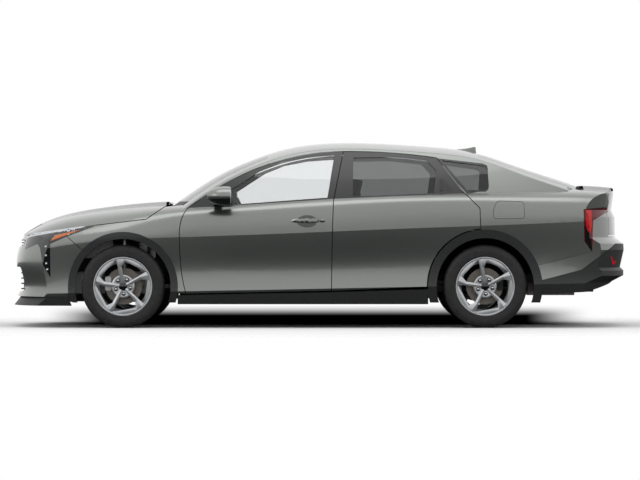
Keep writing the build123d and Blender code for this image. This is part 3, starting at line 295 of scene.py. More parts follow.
def aboveBelt(tree, place):
    axes = addNode(tree, "ShaderNodeSeparateXYZ", None, {0: place})
    points = beltLine["points"]
    level = addNode(tree, "ShaderNodeValue")
    level.outputs[0].default_value = points[0][1] + beltLine["above"]
    for (x0, z0), (x1, z1) in zip(points, points[1:]):
        span = {"From Min": x0, "From Max": x1, "To Min": 0.0, "To Max": z1 - z0}
        rise = addNode(tree, "ShaderNodeMapRange", span, {"Value": axes.outputs["X"]})
        level = addNode(tree, "ShaderNodeMath", {"operation": "ADD"},
                        {0: level.outputs[0], 1: rise.outputs["Result"]})
    return addNode(tree, "ShaderNodeMath", {"operation": "GREATER_THAN"},
                   {0: axes.outputs["Z"], 1: level.outputs[0]})


doorPaint = twoFinish("doorPaintAndFrame", aboveBelt)
for end, side in corners:
    setMaterials(f"door_{end}_{side}", doorPaint)

# body side: paint, with a lacquered black surround at the quarter pane, a convex outline in mm, clockwise
quarterSurround = {
    "outline": ((858, 1284), (1236, 1240), (1268, 1224), (1276, 1060), (1246, 1034), (1110, 1006)),
}


def insideSurround(tree, place):
    outline = quarterSurround["outline"]
    inside = addNode(tree, "ShaderNodeValue")
    inside.outputs[0].default_value = 1.0
    for (x0, z0), (x1, z1) in zip(outline, outline[1:] + outline[:1]):
        normal = Vector((z1 - z0, 0, x0 - x1)).normalized()
        reach = addNode(tree, "ShaderNodeVectorMath", {"operation": "DOT_PRODUCT", 1: normal}, {0: place})
        limit = normal.dot(Vector((x0, 0, z0))) / 1000
        past = addNode(tree, "ShaderNodeMath", {"operation": "GREATER_THAN", 1: limit},
                       {0: reach.outputs["Value"]})
        inside = addNode(tree, "ShaderNodeMath", {"operation": "MULTIPLY"},
                         {0: inside.outputs[0], 1: past.outputs[0]})
    return inside


bodyPaint = twoFinish("bodyPaintAndSurround", insideSurround)
for side in sides:
    setMaterials(f"body_side_{side}", bodyPaint)


def paintAbove(node, lowFinish, levelAt):  # paint, with another finish on the faces below a level
    data = setMaterials(node, greyPaint, lowFinish)
    for polygon in data.polygons:
        if polygon.center.z < levelAt(polygon.center.x):
            polygon.material_index = 1


# rear bumper: painted above the skirt line, moulded black below it
skirtLine = {
    "points": [(1.6, 0.341), (1.64, 0.351), (1.966, 0.435), (2.103, 0.534), (2.24, 0.632), (2.5, 0.64)],
    "above": 0.001,
}


def skirtHeight(x):
    points = skirtLine["points"]
    for (x0, z0), (x1, z1) in zip(points, points[1:]):
        if x <= x1:
            return z0 + (z1 - z0) * (x - x0) / (x1 - x0) + skirtLine["above"]
    return points[-1][1] + skirtLine["above"]


paintAbove("bumper_rear", claddingPlastic, skirtHeight)

# mirrors: painted cap on a black foot
mirrorFoot = {"top": 0.968}
for side in sides:
    paintAbove(f"mirror_{side}", frameBlack, lambda x: mirrorFoot["top"])

# hood and lid as merged copies, so that their shading runs smoothly over the seams between patches
mergedPanel = {"sharpDeg": 24, "merge": 2e-5}
for name in ("hood", "trunk_lid"):
    mesh = bmesh.new()
    mesh.from_mesh(nodes[name].data)
    panel = finishPiece(f"{name}_panel", mesh, greyPaint, name, **mergedPanel)
    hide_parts(name)
print("CAD nodes finished")

# tyre: rounded carcass with a grooved tread, in place of the plain CAD ring; profile of (radius, across) mm
axle = {"x": {"front": -1.48, "rear": 1.24}, "y": {"left": -0.795, "right": 0.795}, "z": 0.312}
wheelSpots = {(end, side): Vector((axle["x"][end], axle["y"][side], axle["z"])) for end, side in corners}
tyreShape = {
    "steps": 120, "blockEvery": 3, "grooveDepth": 0.0055, "grooveEdge": 0.0012, "sharpDeg": 40,
    "treadFrom": 0.3085, "blockRows": ((0.057, 0.075), (0.021, 0.042)),
    "half": ((205, 84), (219, 87), (222.5, 94), (227, 98.5), (232, 100.2), (236, 99.8), (250, 101.8),
             (264, 102.2), (277, 100.8), (286, 98.2), (287.5, 97.2), (291, 96.4), (299, 92.4), (305.5, 86),
             (309.6, 78), (311.6, 69), (312, 56), (312, 50), (305.5, 49.2), (305.5, 43.8), (312, 43),
             (312, 20), (305.5, 19.2), (305.5, 13.8), (312, 13)),
}


def spinProfile(mesh, points, steps, closeLoop=True):  # (radius, along the axle) in mm, turned about the axle
    verts = [mesh.verts.new((0, y / 1000, r / 1000)) for r, y in points]
    edges = [mesh.edges.new(pair) for pair in zip(verts, verts[1:])]
    if closeLoop:
        edges.append(mesh.edges.new((verts[-1], verts[0])))
    bmesh.ops.spin(mesh, geom=verts + edges, cent=(0, 0, 0), axis=(0, 1, 0), angle=math.tau, steps=steps,
                   use_merge=True)


def isGroove(face):  # every third face of the tread's block rows
    spot = face.calc_center_median()
    turn = round(math.atan2(spot.z, spot.x) / math.tau * tyreShape["steps"] - 0.5)
    inRow = any(low < abs(spot.y) < high for low, high in tyreShape["blockRows"])
    onTread = math.hypot(spot.x, spot.z) > tyreShape["treadFrom"]
    return onTread and inRow and turn % tyreShape["blockEvery"] == 0


def addTyre(end, side):
    mesh = bmesh.new()
    half = tyreShape["half"]
    spinProfile(mesh, [(r, -y) for r, y in half] + [(r, y) for r, y in reversed(half)], tyreShape["steps"])
    grooves = [face for face in mesh.faces if isGroove(face)]
    bmesh.ops.recalc_face_normals(mesh, faces=mesh.faces[:])
    bmesh.ops.inset_individual(mesh, faces=grooves, thickness=tyreShape["grooveEdge"],
                               depth=-tyreShape["grooveDepth"])
    bmesh.ops.translate(mesh, verts=mesh.verts[:], vec=wheelSpots[end, side])
    piece = finishPiece(f"tyre_dressed_{end}_{side}", mesh, tyreRubber, f"wheel_{end}_{side}",
                        tyreShape["sharpDeg"])
    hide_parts(f"tyre_{end}_{side}")


# five-spoke cast wheel: ridged spokes with one flared foot, straight window edges; (across, radius, axle) mm
wheelShape = {
    "count": 5, "pitch": 72, "turn": 3, "depth": 0.02, "bevel": 0.0016, "sharpRad": 0.2, "sharpDeg": 28,
    "spoke": {"hubLeft": (-16, 29, -71), "hubRidge": (-3, 25, -80), "hubRight": (11, 29, -72),
              "midLeft": (-31, 140, -80), "midRidge": (-19, 146, -89), "neckRight": (-1, 146, -80),
              "footRight": (25, 186, -86), "rimRight": (26, 206, -90), "rimRidge": (-12, 207, -95),
              "rimLeft": (-41, 203, -89)},
    "facets": (("hubLeft", "midLeft", "midRidge", "hubRidge"), ("midLeft", "rimLeft", "rimRidge", "midRidge"),
               ("hubRidge", "midRidge", "neckRight", "hubRight"),
               ("midRidge", "rimRidge", "rimRight", "footRight"), ("midRidge", "footRight", "neckRight")),
    "webRadius": 0.2075, "webPlane": -0.09, "webSteps": 6, "barrelSteps": 96, "hubSteps": 64,
    "barrel": ((221, -98), (214, -98), (210, -94), (206, -86), (199, -80), (196, -62), (176, -38), (174, 40),
               (195, 64), (198, 86), (212, 98), (221, 98), (221, 90), (204, 88), (202, 62), (181, 42),
               (181, -42), (202, -62), (204, -88), (221, -90)),
    "hub": ((30.4, -46), (30.4, -62), (50, -65), (78, -67), (86, -63), (89, -46)),
}
# centre cap in dark plastic; dark discs at the nut seats as painted shade in the nut pockets; nuts in bright
# steel
capShape = {"profile": ((0.5, -84), (18, -83), (27, -80), (31, -75), (31, -62)), "steps": 40}
nutShape = {
    "circle": 57.2, "turn": 59, "bevel": 0.0012,
    "seat": {"segments": 24, "radius1": 0.0155, "radius2": 0.0155, "depth": 0.006}, "seatPlane": -0.0655,
    "nut": {"segments": 6, "radius1": 0.0098, "radius2": 0.0108, "depth": 0.018}, "nutPlane": -0.074,
}


def addSpoke(mesh, turn):
    sector = bmesh.new()
    points = {key: [value / 1000 for value in point] for key, point in wheelShape["spoke"].items()}
    corner = {key: sector.verts.new((t, y, r)) for key, (t, r, y) in points.items()}
    faces = [sector.faces.new([corner[key] for key in facet]) for facet in wheelShape["facets"]]
    # web along the rim to the next spoke, its inner edge straight
    pitch = math.radians(-wheelShape["pitch"])
    t, r, y = points["rimLeft"]
    cosine, sine = math.cos(pitch), math.sin(pitch)
    far = sector.verts.new((t * cosine - r * sine, y, t * sine + r * cosine))
    start = math.atan2(points["rimRight"][1], points["rimRight"][0])
    stop = math.atan2(far.co.z, far.co.x)
    arc = []
    for step in range(1, wheelShape["webSteps"]):
        angle = start + (stop - start) * step / wheelShape["webSteps"]
        arc.append(sector.verts.new((wheelShape["webRadius"] * math.cos(angle), wheelShape["webPlane"],
                                     wheelShape["webRadius"] * math.sin(angle))))
    faces.append(sector.faces.new([corner["footRight"], corner["rimRight"], *arc, far]))
    bmesh.ops.recalc_face_normals(sector, faces=faces)
    thicken(sector, faces, (0, wheelShape["depth"], 0))
    bmesh.ops.recalc_face_normals(sector, faces=sector.faces[:])
    inner = [e for e in sector.edges if len(e.link_faces) == 2]
    sharp = [e for e in inner if e.calc_face_angle(0) > wheelShape["sharpRad"]]
    roundOff(sector, sharp, wheelShape["bevel"], 2)
    bmesh.ops.rotate(sector, verts=sector.verts[:], cent=(0, 0, 0), matrix=Matrix.Rotation(-turn, 3, "Y"))
    data = bpy.data.meshes.new("sector")
    sector.to_mesh(data)
    sector.free()
    mesh.from_mesh(data)
    bpy.data.meshes.remove(data)


def placeWheelPart(mesh, end, side):  # drawn for the left side at the origin
    bmesh.ops.scale(mesh, vec=(1, -1 if side == "right" else 1, 1), verts=mesh.verts[:])
    bmesh.ops.translate(mesh, verts=mesh.verts[:], vec=wheelSpots[end, side])


def addWheel(end, side):
    mesh = bmesh.new()
    spinProfile(mesh, wheelShape["barrel"], wheelShape["barrelSteps"])
    spinProfile(mesh, wheelShape["hub"], wheelShape["hubSteps"])
    for number in range(wheelShape["count"]):
        addSpoke(mesh, math.radians(wheelShape["turn"] + wheelShape["pitch"] * number))
    placeWheelPart(mesh, end, side)
    wheel = finishPiece(f"wheel_cast_{end}_{side}", mesh, silverAlloy, f"wheel_{end}_{side}",
                        wheelShape["sharpDeg"])
    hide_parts(f"rim_{end}_{side}")


def addCapAndNuts(end, side):
    capAndSeatShade = bmesh.new()
    spinProfile(capAndSeatShade, capShape["profile"], capShape["steps"], False)
    nuts = bmesh.new()
    lay = Matrix.Rotation(math.radians(90), 4, "X")
    for number in range(wheelShape["count"]):
        angle = math.radians(nutShape["turn"] + wheelShape["pitch"] * number)
        centre = Vector((math.cos(angle), 0, math.sin(angle))) * nutShape["circle"] / 1000
        seatSpot = Matrix.Translation(centre + Vector((0, nutShape["seatPlane"], 0)))
        # dark disc behind each nut: painted shade of its pocket
        bmesh.ops.create_cone(capAndSeatShade, cap_ends=True, matrix=seatSpot @ lay, **nutShape["seat"])
        nutSpot = Matrix.Translation(centre + Vector((0, nutShape["nutPlane"], 0)))
        made = bmesh.ops.create_cone(nuts, cap_ends=True, matrix=nutSpot @ lay, **nutShape["nut"])
        roundOff(nuts, list({e for v in made["verts"] for e in v.link_edges}), nutShape["bevel"], 2)
    for mesh, name, material in ((capAndSeatShade, "wheel_cap", glossBlack), (nuts, "wheel_nuts", brightSteel)):
        placeWheelPart(mesh, end, side)
        piece = finishPiece(f"{name}_{end}_{side}", mesh, material, f"wheel_{end}_{side}")


for end, side in corners:
    addTyre(end, side)
    addWheel(end, side)
    addCapAndNuts(end, side)
print("wheels dressed")


def surfaceOf(*names):  # one ray-cast tree over some CAD nodes
    points, faces = [], []
    for name in names:
        data = nodes[name].data
        start = len(points)
        points += [v.co.copy() for v in data.vertices]
        faces += [[start + i for i in p.vertices] for p in data.polygons]
    return BVHTree.FromPolygons(points, faces)


bodySkin = surfaceOf("body_side_left", "bumper_rear", "tail_lamps", "trunk_lid")
doorSkin = {end: surfaceOf(f"door_{end}_left") for end in ends}
noseSkin = surfaceOf("headlamps", "bumper_front", "fender_left", "hood")
castFrom = {"side": -2, "nearSide": -0.9, "top": 2}


def dropOnSide(surface, x, z):  # where a line across the car first meets the left side
    hit, normal = surface.ray_cast(Vector((x, castFrom["side"], z)), Vector((0, 1, 0)))[:2]
    if hit is None:
        hit, normal = surface.find_nearest(Vector((x, castFrom["nearSide"], z)))[:2]
    return hit, -normal if normal.y > 0 else normal


def heightAt(surface, x, y):  # where a line down from above first meets a panel
    hit = surface.ray_cast(Vector((x, y, castFrom["top"])), Vector((0, 0, -1)))[0]
    return hit.z if hit else None


# thin piece cut to a side-view outline in mm and laid on the body side, made for both sides
skin = {"longest": 0.02, "splits": 6, "cornerSteps": 5, "sink": 0.002, "sharpDeg": 40}


def sideSkin(name, form, surface, material, bodyName, onSides=sides):
    lift, crown = form["lift"], form.get("crown", 0)
    for side in onSides:
        mesh = bmesh.new()
        mesh.faces.new([mesh.verts.new((x / 1000, 0, z / 1000)) for x, z in form["outline"]])
        if "rounding" in form:
            roundOff(mesh, mesh.verts[:], form["rounding"], skin["cornerSteps"], "VERTICES")
        if "ring" in form:
            middle = mesh.faces[:]
            bmesh.ops.inset_region(mesh, faces=middle, thickness=form["ring"], use_boundary=True,
                                   use_even_offset=True)
            bmesh.ops.delete(mesh, geom=middle, context="FACES_ONLY")
        bmesh.ops.triangulate(mesh, faces=mesh.faces[:])
        for split in range(skin["splits"]):
            longEdges = [e for e in mesh.edges if e.calc_length() > skin["longest"]]
            if not longEdges:
                break
            bmesh.ops.subdivide_edges(mesh, edges=longEdges, cuts=1)
            bmesh.ops.triangulate(mesh, faces=[f for f in mesh.faces if len(f.verts) > 3])
        rim = {v for e in mesh.edges if e.is_boundary for v in e.verts}
        for vert in mesh.verts:
            hit, normal = dropOnSide(surface, vert.co.x, vert.co.z)
            vert.co = hit + normal * (lift + (crown if vert not in rim else 0))
        bmesh.ops.recalc_face_normals(mesh, faces=mesh.faces[:])
        thicken(mesh, mesh.faces[:], (0, lift + skin["sink"], 0))
        if side == "right":
            bmesh.ops.scale(mesh, vec=(1, -1, 1), verts=mesh.verts[:])
        piece = finishPiece(f"{name}_{side}", mesh, material, bodyName.format(side=side), skin["sharpDeg"])


# swage on hood and lid: the step beside the raised middle runs out in a soft slope
swage = {
    "spans": {"hood": (-2.24, -1.17), "trunk_lid": (2.006, 2.245)}, "stations": 40,
    "scanFrom": 0.18, "scanStep": 0.004, "scanCount": 130, "leastStep": 0.004, "deepest": 0.07,
    "reach": (0.11, 0.08, 0.05, 0.03), "rows": 8, "ease": 0.35, "overlap": 0.002, "lift": 0.0006,
    "skin": 0.0025, "sharpDeg": 40,
}


def findStep(surface, x, flip):  # how far out the step lies, its height, the slope's reach and its drop
    across = [swage["scanFrom"] + k * swage["scanStep"] for k in range(swage["scanCount"])]
    heights = [heightAt(surface, x, flip * y) for y in across]
    for edge, top, lower in zip(across, heights, heights[1:]):
        if top and lower and top - lower > swage["leastStep"]:
            for reach in swage["reach"]:
                foot = heightAt(surface, x, flip * (edge + reach))
                if foot and top - foot < swage["deepest"]:
                    return edge, top, reach, top - foot
            return None
    return None


def addSwage(name, side):
    surface = surfaceOf(name)
    flip = -1 if side == "left" else 1
    start, stop = swage["spans"][name]
    mesh = bmesh.new()
    columns = []
    for station in range(swage["stations"] + 1):
        x = start + (stop - start) * station / swage["stations"]
        found = findStep(surface, x, flip)
        if not found:
            continue
        edge, top, reach, drop = found
        column = []
        for row in range(swage["rows"] + 1):
            t = row / swage["rows"]
            y = edge - swage["overlap"] + (reach + swage["overlap"]) * t
            fall = t * t * (3 - 2 * t) * swage["ease"] + t * (1 - swage["ease"])
            column.append(mesh.verts.new((x, flip * y, top + swage["lift"] - drop * fall)))
        columns.append(column)
    joinColumns(mesh, columns)
    thicken(mesh, mesh.faces[:], (0, 0, -swage["skin"]))
    piece = finishPiece(f"{name}_swage_{side}", mesh, greyPaint, name, swage["sharpDeg"])


for name in swage["spans"]:
    for side in sides:
        addSwage(name, side)

# fuel flap outline on the rear quarter: a fine ring of black lacquer as painted shade in the gap
fuelFlap = {"outline": ((1300, 818), (1295, 880), (1325, 955), (1530, 950), (1537, 818)), "lift": 0.0006,
            "rounding": 0.025, "ring": 0.0035}
sideSkin("fuel_flap_gap_shade", fuelFlap, bodySkin, frameBlack, "body", ("left",))

# headlamp: silver light guide along the top, amber corner, stack of small lamps in the upright leg
lightGuide = {"outline": ((-2236, 688), (-2200, 706), (-1990, 735), (-1790, 763), (-1760, 763), (-1800, 750),
                          (-2000, 716), (-2190, 684), (-2240, 668)), "lift": 0.001}
amberLens = {"outline": ((-2026, 652), (-1996, 694), (-1800, 738), (-1850, 718)), "lift": 0.001}
ledStack = {"at": ((-2062, 612), (-2060, 545), (-2058, 485), (-2050, 440)), "half": 7, "slant": 0.6,
            "lift": 0.0012, "rounding": 0.003}
sideSkin("headlamp_light_guide", lightGuide, noseSkin, reflectorSilver, "body")
sideSkin("headlamp_amber_lens", amberLens, noseSkin, lensAmber, "body")
for number, (x, z) in enumerate(ledStack["at"]):
    half, slant = ledStack["half"], ledStack["half"] * ledStack["slant"]
    outline = ((x - half, z - half), (x + half, z - slant), (x + half, z + half), (x - half, z + slant))
    sideSkin(f"headlamp_led_{number}", {**ledStack, "outline": outline}, noseSkin, ledWhite, "body")

# tail lamp: bright upright element, smoked lower part, dark cap along the top
tailElement = {"outline": ((1994, 884), (2042, 886), (2042, 770), (2028, 706), (2008, 735), (1998, 771)),
               "lift": 0.001}
tailSmoked = {"outline": ((1986, 780), (1994, 760), (2010, 722), (2030, 690), (2042, 600), (2040, 575),
                          (1990, 652)), "lift": 0.0008}
tailCap = {"outline": ((1978, 884), (1980, 893), (2188, 910), (2188, 903), (2050, 892)), "lift": 0.0008}
sideSkin("tail_lamp_element", tailElement, bodySkin, lensBrightRed, "body")
sideSkin("tail_lamp_smoked", tailSmoked, bodySkin, glossBlack, "body")
sideSkin("tail_lamp_cap", tailCap, bodySkin, glossBlack, "body")

# front door pull: body-colour strap across a shallow cup, the cup drawn as a flat patch of painted shade
pullCupShade = {"outline": ((-180, 800), (-160, 830), (-112, 847), (-64, 844), (-30, 825), (-28, 775), (-64, 756),
                       (-112, 753), (-160, 770)), "lift": 0.0006, "rounding": 0.012}
pullStrap = {"outline": ((-230, 804), (-190, 818), (-100, 823), (-8, 821), (-8, 791), (-100, 787),
                         (-190, 791)), "lift": 0.006, "rounding": 0.008, "crown": 0.008}
pullCap = {"outline": ((-4, 818), (30, 818), (50, 808), (30, 792), (-4, 792)), "lift": 0.006,
           "rounding": 0.008, "crown": 0.006}
sideSkin("door_pull_cup_shade", pullCupShade, doorSkin["front"], cupShadePaint, "front_door_{side}")
sideSkin("door_pull_strap", pullStrap, doorSkin["front"], greyPaint, "front_door_{side}")
sideSkin("door_pull_cap", pullCap, doorSkin["front"], greyPaint, "front_door_{side}")

# rear door pull hidden in the black corner: an upright grip and the slot beside it
rearGrip = {"outline": ((902, 1030), (902, 1122), (930, 1122), (930, 1030)), "lift": 0.003, "rounding": 0.004,
            "crown": 0.001}
rearSlot = {"outline": ((934, 1030), (934, 1118), (1004, 1036), (998, 1030)), "lift": 0.0008,
            "rounding": 0.004}
sideSkin("rear_pull_grip", rearGrip, doorSkin["rear"], claddingPlastic, "rear_door_{side}")
sideSkin("rear_pull_slot", rearSlot, doorSkin["rear"], glossBlack, "rear_door_{side}")
print("side trim laid on")

# antenna fin at the back of the roof, painted, thin at the top, pinched at both ends; in mm
antennaFin = {
    "profile": ((1056, 1366), (1110, 1373), (1160, 1382), (1192, 1393), (1204, 1396), (1214, 1393),
                (1212, 1372), (1218, 1334)),
    "roofFall": 0.2, "sink": 6, "height": 40, "halfWidth": 26, "topWidth": 3, "taper": 0.6, "shoulder": 0.6,
    "pinch": 0.25, "sharpDeg": 50,
}
mesh = bmesh.new()
columns = []
startX, startZ = antennaFin["profile"][0]
for number, (x, z) in enumerate(antennaFin["profile"]):
    base = startZ - (x - startX) * antennaFin["roofFall"]
    share = max(0.0, min(1.0, (z - base) / antennaFin["height"])) ** antennaFin["taper"]
    wide = (antennaFin["halfWidth"] + (antennaFin["topWidth"] - antennaFin["halfWidth"]) * share) / 1000
    if number in (0, len(antennaFin["profile"]) - 1):
        wide *= antennaFin["pinch"]
    narrow, foot, middle = wide * antennaFin["shoulder"], base - antennaFin["sink"], (z + base) / 2
    section = ((-wide, foot), (-narrow, middle), (0, z), (narrow, middle), (wide, foot))
    columns.append([mesh.verts.new((x / 1000, y, h / 1000)) for y, h in section])
joinColumns(mesh, columns)
mesh.faces.new(columns[0])
mesh.faces.new(columns[-1])
mesh.faces.new([column[0] for column in columns] + [column[-1] for column in reversed(columns)])
fin = finishPiece("antenna_fin", mesh, greyPaint, "body", antennaFin["sharpDeg"])
soften(fin, 2)

# red reflector in the corner of the rear skirt
skirtReflector = {"outline": ((2196, 534), (2208, 534), (2222, 494), (2246, 508), (2244, 486), (2214, 470)),
                  "lift": 0.0012}
sideSkin("rear_reflector", skirtReflector, bodySkin, lensBrightRed, "body")

# seat cushions: crowned foam under cloth, sides pulled in between the corners, a sewn channel on either side
foam = {"cuts": 9, "waist": 0.06, "cornerPull": 0.05, "channelDepth": 0.006, "channelAt": 0.52,
        "channelWidth": 0.05, "faceFrom": 0.9, "piping": 0.012, "pipingRad": 1.0, "smooth": 0.4,
        "sharpDeg": 60}
seatY = {"left": -0.375, "right": 0.375}
frontSeat = {
    "seat_cushion": {"at": (-0.14, 0.405), "size": (0.5, 0.48, 0.15), "tilt": -5, "crown": 0.018},
    "seat_back": {"at": (0.175, 0.74), "size": (0.12, 0.46, 0.6), "tilt": 17, "crown": 0.0},
    "seat_headrest": {"at": (0.268, 1.04), "size": (0.09, 0.25, 0.17), "tilt": 12, "crown": 0.0},
}
rearBench = {
    "rear_bench_cushion": {"at": (0.93, 0.44), "size": (0.5, 1.16, 0.16), "tilt": -5, "crown": 0.012},
    "rear_bench_back": {"at": (1.27, 0.7), "size": (0.13, 1.14, 0.56), "tilt": 20, "crown": 0.0},
}


def addCushion(name, y, at, size, tilt, crown):
    mesh = bmesh.new()
    bmesh.ops.create_cube(mesh, size=2)
    bmesh.ops.subdivide_edges(mesh, edges=mesh.edges[:], cuts=foam["cuts"], use_grid_fill=True)
    for vert in mesh.verts:
        u, v, w = vert.co
        pull = 1 - foam["waist"] * (1 - abs(w)) - foam["cornerPull"] * max(abs(u), abs(v)) ** 6 * abs(w) ** 3
        groove = math.exp(-((abs(v) - foam["channelAt"]) / foam["channelWidth"]) ** 2)
        channel = foam["channelDepth"] * groove * (1 - abs(u) ** 4)
        swell = crown * (1 - u * u) * (1 - v * v) - channel if abs(w) > foam["faceFrom"] else 0
        vert.co = (u * size[0] / 2 * pull, v * size[1] / 2 * pull,
                   w * size[2] / 2 + math.copysign(1, w) * swell)
    roundOff(mesh, [e for e in mesh.edges if e.calc_face_angle(0) > foam["pipingRad"]], foam["piping"], 3)
    bmesh.ops.smooth_vert(mesh, verts=mesh.verts[:], factor=foam["smooth"], use_axis_x=True, use_axis_y=True,
                          use_axis_z=True)
    turn = Matrix.Rotation(math.radians(tilt), 3, "Y")
    bmesh.ops.rotate(mesh, verts=mesh.verts[:], cent=(0, 0, 0), matrix=turn)
    bmesh.ops.translate(mesh, verts=mesh.verts[:], vec=(at[0], y, at[1]))
    piece = finishPiece(name, mesh, seatCloth, "body", foam["sharpDeg"])
    soften(piece, 1)
    return piece


cushions = []
for side, y in seatY.items():
    cushions += [addCushion(f"{name}_{side}", y, **form) for name, form in frontSeat.items()]
cushions += [addCushion(name, 0, **form) for name, form in rearBench.items()]
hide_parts("seats")
print("seats upholstered")


def stageObject(name, mesh, material):
    data = bpy.data.meshes.new(name)
    mesh.to_mesh(data)
    mesh.free()
    data.materials.append(material)
    piece = bpy.data.objects.new(name, data)
    scene.collection.objects.link(piece)
    return piece


# stage: pale floor that fades to the white backdrop
stageFloor = {"half": (4.6, 3.4), "z": -0.0005, "segments": 96, "fadeFrom": 0.62, "fadeTo": 0.98,
              "colour": "#f4f4f4"}
floorPaper = newMaterial(
    "paleFloorPaper",
    {"Base Color": linear(stageFloor["colour"]), "Roughness": 0.9, "Specular IOR Level": 0.0})
tree, shader = shaderOf(floorPaper)
place = addNode(tree, "ShaderNodeTexCoord")
share = addNode(tree, "ShaderNodeVectorMath", {"operation": "DIVIDE", 1: (*stageFloor["half"], 1.0)},
                {0: place.outputs["Object"]})
outward = addNode(tree, "ShaderNodeVectorMath", {"operation": "LENGTH"}, {0: share.outputs["Vector"]})
span = {"From Min": stageFloor["fadeFrom"], "From Max": stageFloor["fadeTo"],
        "interpolation_type": "SMOOTHSTEP"}
fade = addNode(tree, "ShaderNodeMapRange", span, {"Value": outward.outputs["Value"]})
clear = addNode(tree, "ShaderNodeBsdfTransparent")
mix = addNode(tree, "ShaderNodeMixShader", None,
              {0: fade.outputs["Result"], 1: shader.outputs[0], 2: clear.outputs[0]})
tree.links.new(mix.outputs[0], tree.nodes["Material Output"].inputs["Surface"])
mesh = bmesh.new()
bmesh.ops.create_circle(mesh, cap_ends=True, segments=stageFloor["segments"], radius=1)
bmesh.ops.scale(mesh, vec=(*stageFloor["half"], 1), verts=mesh.verts[:])
bmesh.ops.translate(mesh, verts=mesh.verts[:], vec=(0, 0, stageFloor["z"]))
floor = stageObject("studioFloor", mesh, floorPaper)
floor.visible_glossy = False

# soft shadow under the car, as deep as the photograph's, on an upright sheet below the floor pan's centreline
underShadow = {"x": (-2.2, 2.15), "fade": 0.55, "clearAt": 0.16, "darkAt": 0.07, "colour": "#050505"}
shadowGauze = newMaterial(
    "shadowGauze", {"Base Color": linear(underShadow["colour"]), "Roughness": 1.0, "Specular IOR Level": 0.0})
tree, shader = shaderOf(shadowGauze)
place = addNode(tree, "ShaderNodeTexCoord")
axes = addNode(tree, "ShaderNodeSeparateXYZ", None, {0: place.outputs["Object"]})
lowX, highX = underShadow["x"]
fades = (("X", lowX, lowX + underShadow["fade"]), ("X", highX, highX - underShadow["fade"]),
         ("Z", underShadow["clearAt"], underShadow["darkAt"]))
dark = addNode(tree, "ShaderNodeValue")
dark.outputs[0].default_value = 1.0
for axis, start, stop in fades:
    span = {"From Min": start, "From Max": stop, "interpolation_type": "SMOOTHSTEP"}
    fade = addNode(tree, "ShaderNodeMapRange", span, {"Value": axes.outputs[axis]})
    dark = addNode(tree, "ShaderNodeMath", {"operation": "MULTIPLY"},
                   {0: dark.outputs[0], 1: fade.outputs["Result"]})
clear = addNode(tree, "ShaderNodeBsdfTransparent")
mix = addNode(tree, "ShaderNodeMixShader", None,
              {0: dark.outputs[0], 1: clear.outputs[0], 2: shader.outputs[0]})
tree.links.new(mix.outputs[0], tree.nodes["Material Output"].inputs["Surface"])
mesh = bmesh.new()
sheet = ((lowX, 0), (highX, 0), (highX, underShadow["clearAt"]), (lowX, underShadow["clearAt"]))
mesh.faces.new([mesh.verts.new((x, 0, z)) for x, z in sheet])
gauze = stageObject("underShadow", mesh, shadowGauze)
gauze.visible_glossy = gauze.visible_diffuse = gauze.visible_transmission = gauze.visible_shadow = False

# dark card under the floor, seen in reflections only, gives the lower sides their dark reflection
groundCard = {"half": 30.0, "z": -0.02, "tones": ("#3a3b3c", "#424344"), "grainMm": 400}
cardBlack = newMaterial(
    "darkGroundCard", {"Roughness": 0.95, "Specular IOR Level": 0.0},
    (groundCard["tones"], groundCard["grainMm"]))
mesh = bmesh.new()
half = groundCard["half"]
sheet = ((-half, -half), (half, -half), (half, half), (-half, half))
mesh.faces.new([mesh.verts.new((x, y, groundCard["z"])) for x, y in sheet])
card = stageObject("groundCards", mesh, cardBlack)
card.visible_camera = card.visible_transmission = card.visible_diffuse = card.visible_shadow = False

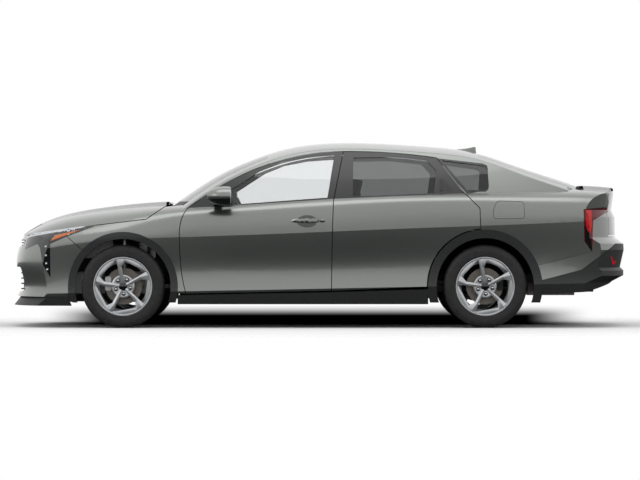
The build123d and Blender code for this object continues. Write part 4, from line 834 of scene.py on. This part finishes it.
# world: a sky that is dark below the horizon lights the car, and plain white is what is seen and mirrored
worldLight = {"skySteps": ((0.0, 0.14), (0.495, 0.14), (0.503, 0.5), (0.53, 0.64), (0.62, 0.8), (0.8, 1.0)),
              "skyStrength": 0.9, "whiteStrength": 1.0}
world = bpy.data.worlds.new("studioWorld")
scene.world = world
world.use_nodes = True
tree = world.node_tree
tree.nodes.clear()
place = addNode(tree, "ShaderNodeTexCoord")
axes = addNode(tree, "ShaderNodeSeparateXYZ", None, {0: place.outputs["Generated"]})
height = addNode(tree, "ShaderNodeMapRange", {"From Min": -1.0, "From Max": 1.0},
                 {"Value": axes.outputs["Z"]})
ramp = addNode(tree, "ShaderNodeValToRGB", None, {"Fac": height.outputs["Result"]})
while len(ramp.color_ramp.elements) < len(worldLight["skySteps"]):
    ramp.color_ramp.elements.new(0.5)
for element, (position, level) in zip(ramp.color_ramp.elements, worldLight["skySteps"]):
    element.position = position
    element.color = (level, level, level, 1)
sky = addNode(tree, "ShaderNodeBackground", {"Strength": worldLight["skyStrength"]},
              {"Color": ramp.outputs["Color"]})
white = addNode(tree, "ShaderNodeBackground",
                {"Color": (1, 1, 1, 1), "Strength": worldLight["whiteStrength"]})
path = addNode(tree, "ShaderNodeLightPath")
seen = addNode(tree, "ShaderNodeMath", {"operation": "MAXIMUM"},
               {0: path.outputs["Is Camera Ray"], 1: path.outputs["Is Transmission Ray"]})
seen = addNode(tree, "ShaderNodeMath", {"operation": "MAXIMUM"},
               {0: seen.outputs[0], 1: path.outputs["Is Glossy Ray"]})
mix = addNode(tree, "ShaderNodeMixShader", None,
              {0: seen.outputs[0], 1: sky.outputs[0], 2: white.outputs[0]})
addNode(tree, "ShaderNodeOutputWorld", None, {"Surface": mix.outputs[0]})

# soft light from above and from the front corner
lightAim = Vector((0, 0, 0.6))
softboxes = {
    "topSoftbox": {"at": (0, -1.2, 5.5), "size": (6.5, 2.6), "power": 80},
    "frontSoftbox": {"at": (-6.5, -3.5, 3.2), "size": (2.4, 2.4), "power": 30},
}
for name, box in softboxes.items():
    light = bpy.data.lights.new(name, "AREA")
    light.shape = "RECTANGLE"
    light.size, light.size_y = box["size"]
    light.energy = box["power"]
    lamp = bpy.data.objects.new(name, light)
    lamp.location = box["at"]
    lamp.rotation_euler = (lightAim - Vector(box["at"])).to_track_quat("-Z", "Y").to_euler()
    scene.collection.objects.link(lamp)

viewFrom = {"distance": 24.1, "height": 0.66, "lens": 174.0, "sensor": 36, "clipEnd": 300}
camera = bpy.data.objects.new("camera", bpy.data.cameras.new("camera"))
camera.data.sensor_width = viewFrom["sensor"]
camera.data.lens = viewFrom["lens"]
camera.data.clip_end = viewFrom["clipEnd"]
camera.location = (0, -viewFrom["distance"], viewFrom["height"])
camera.rotation_euler = (math.radians(90), 0, 0)
scene.collection.objects.link(camera)
scene.camera = camera
print("stage and camera set")
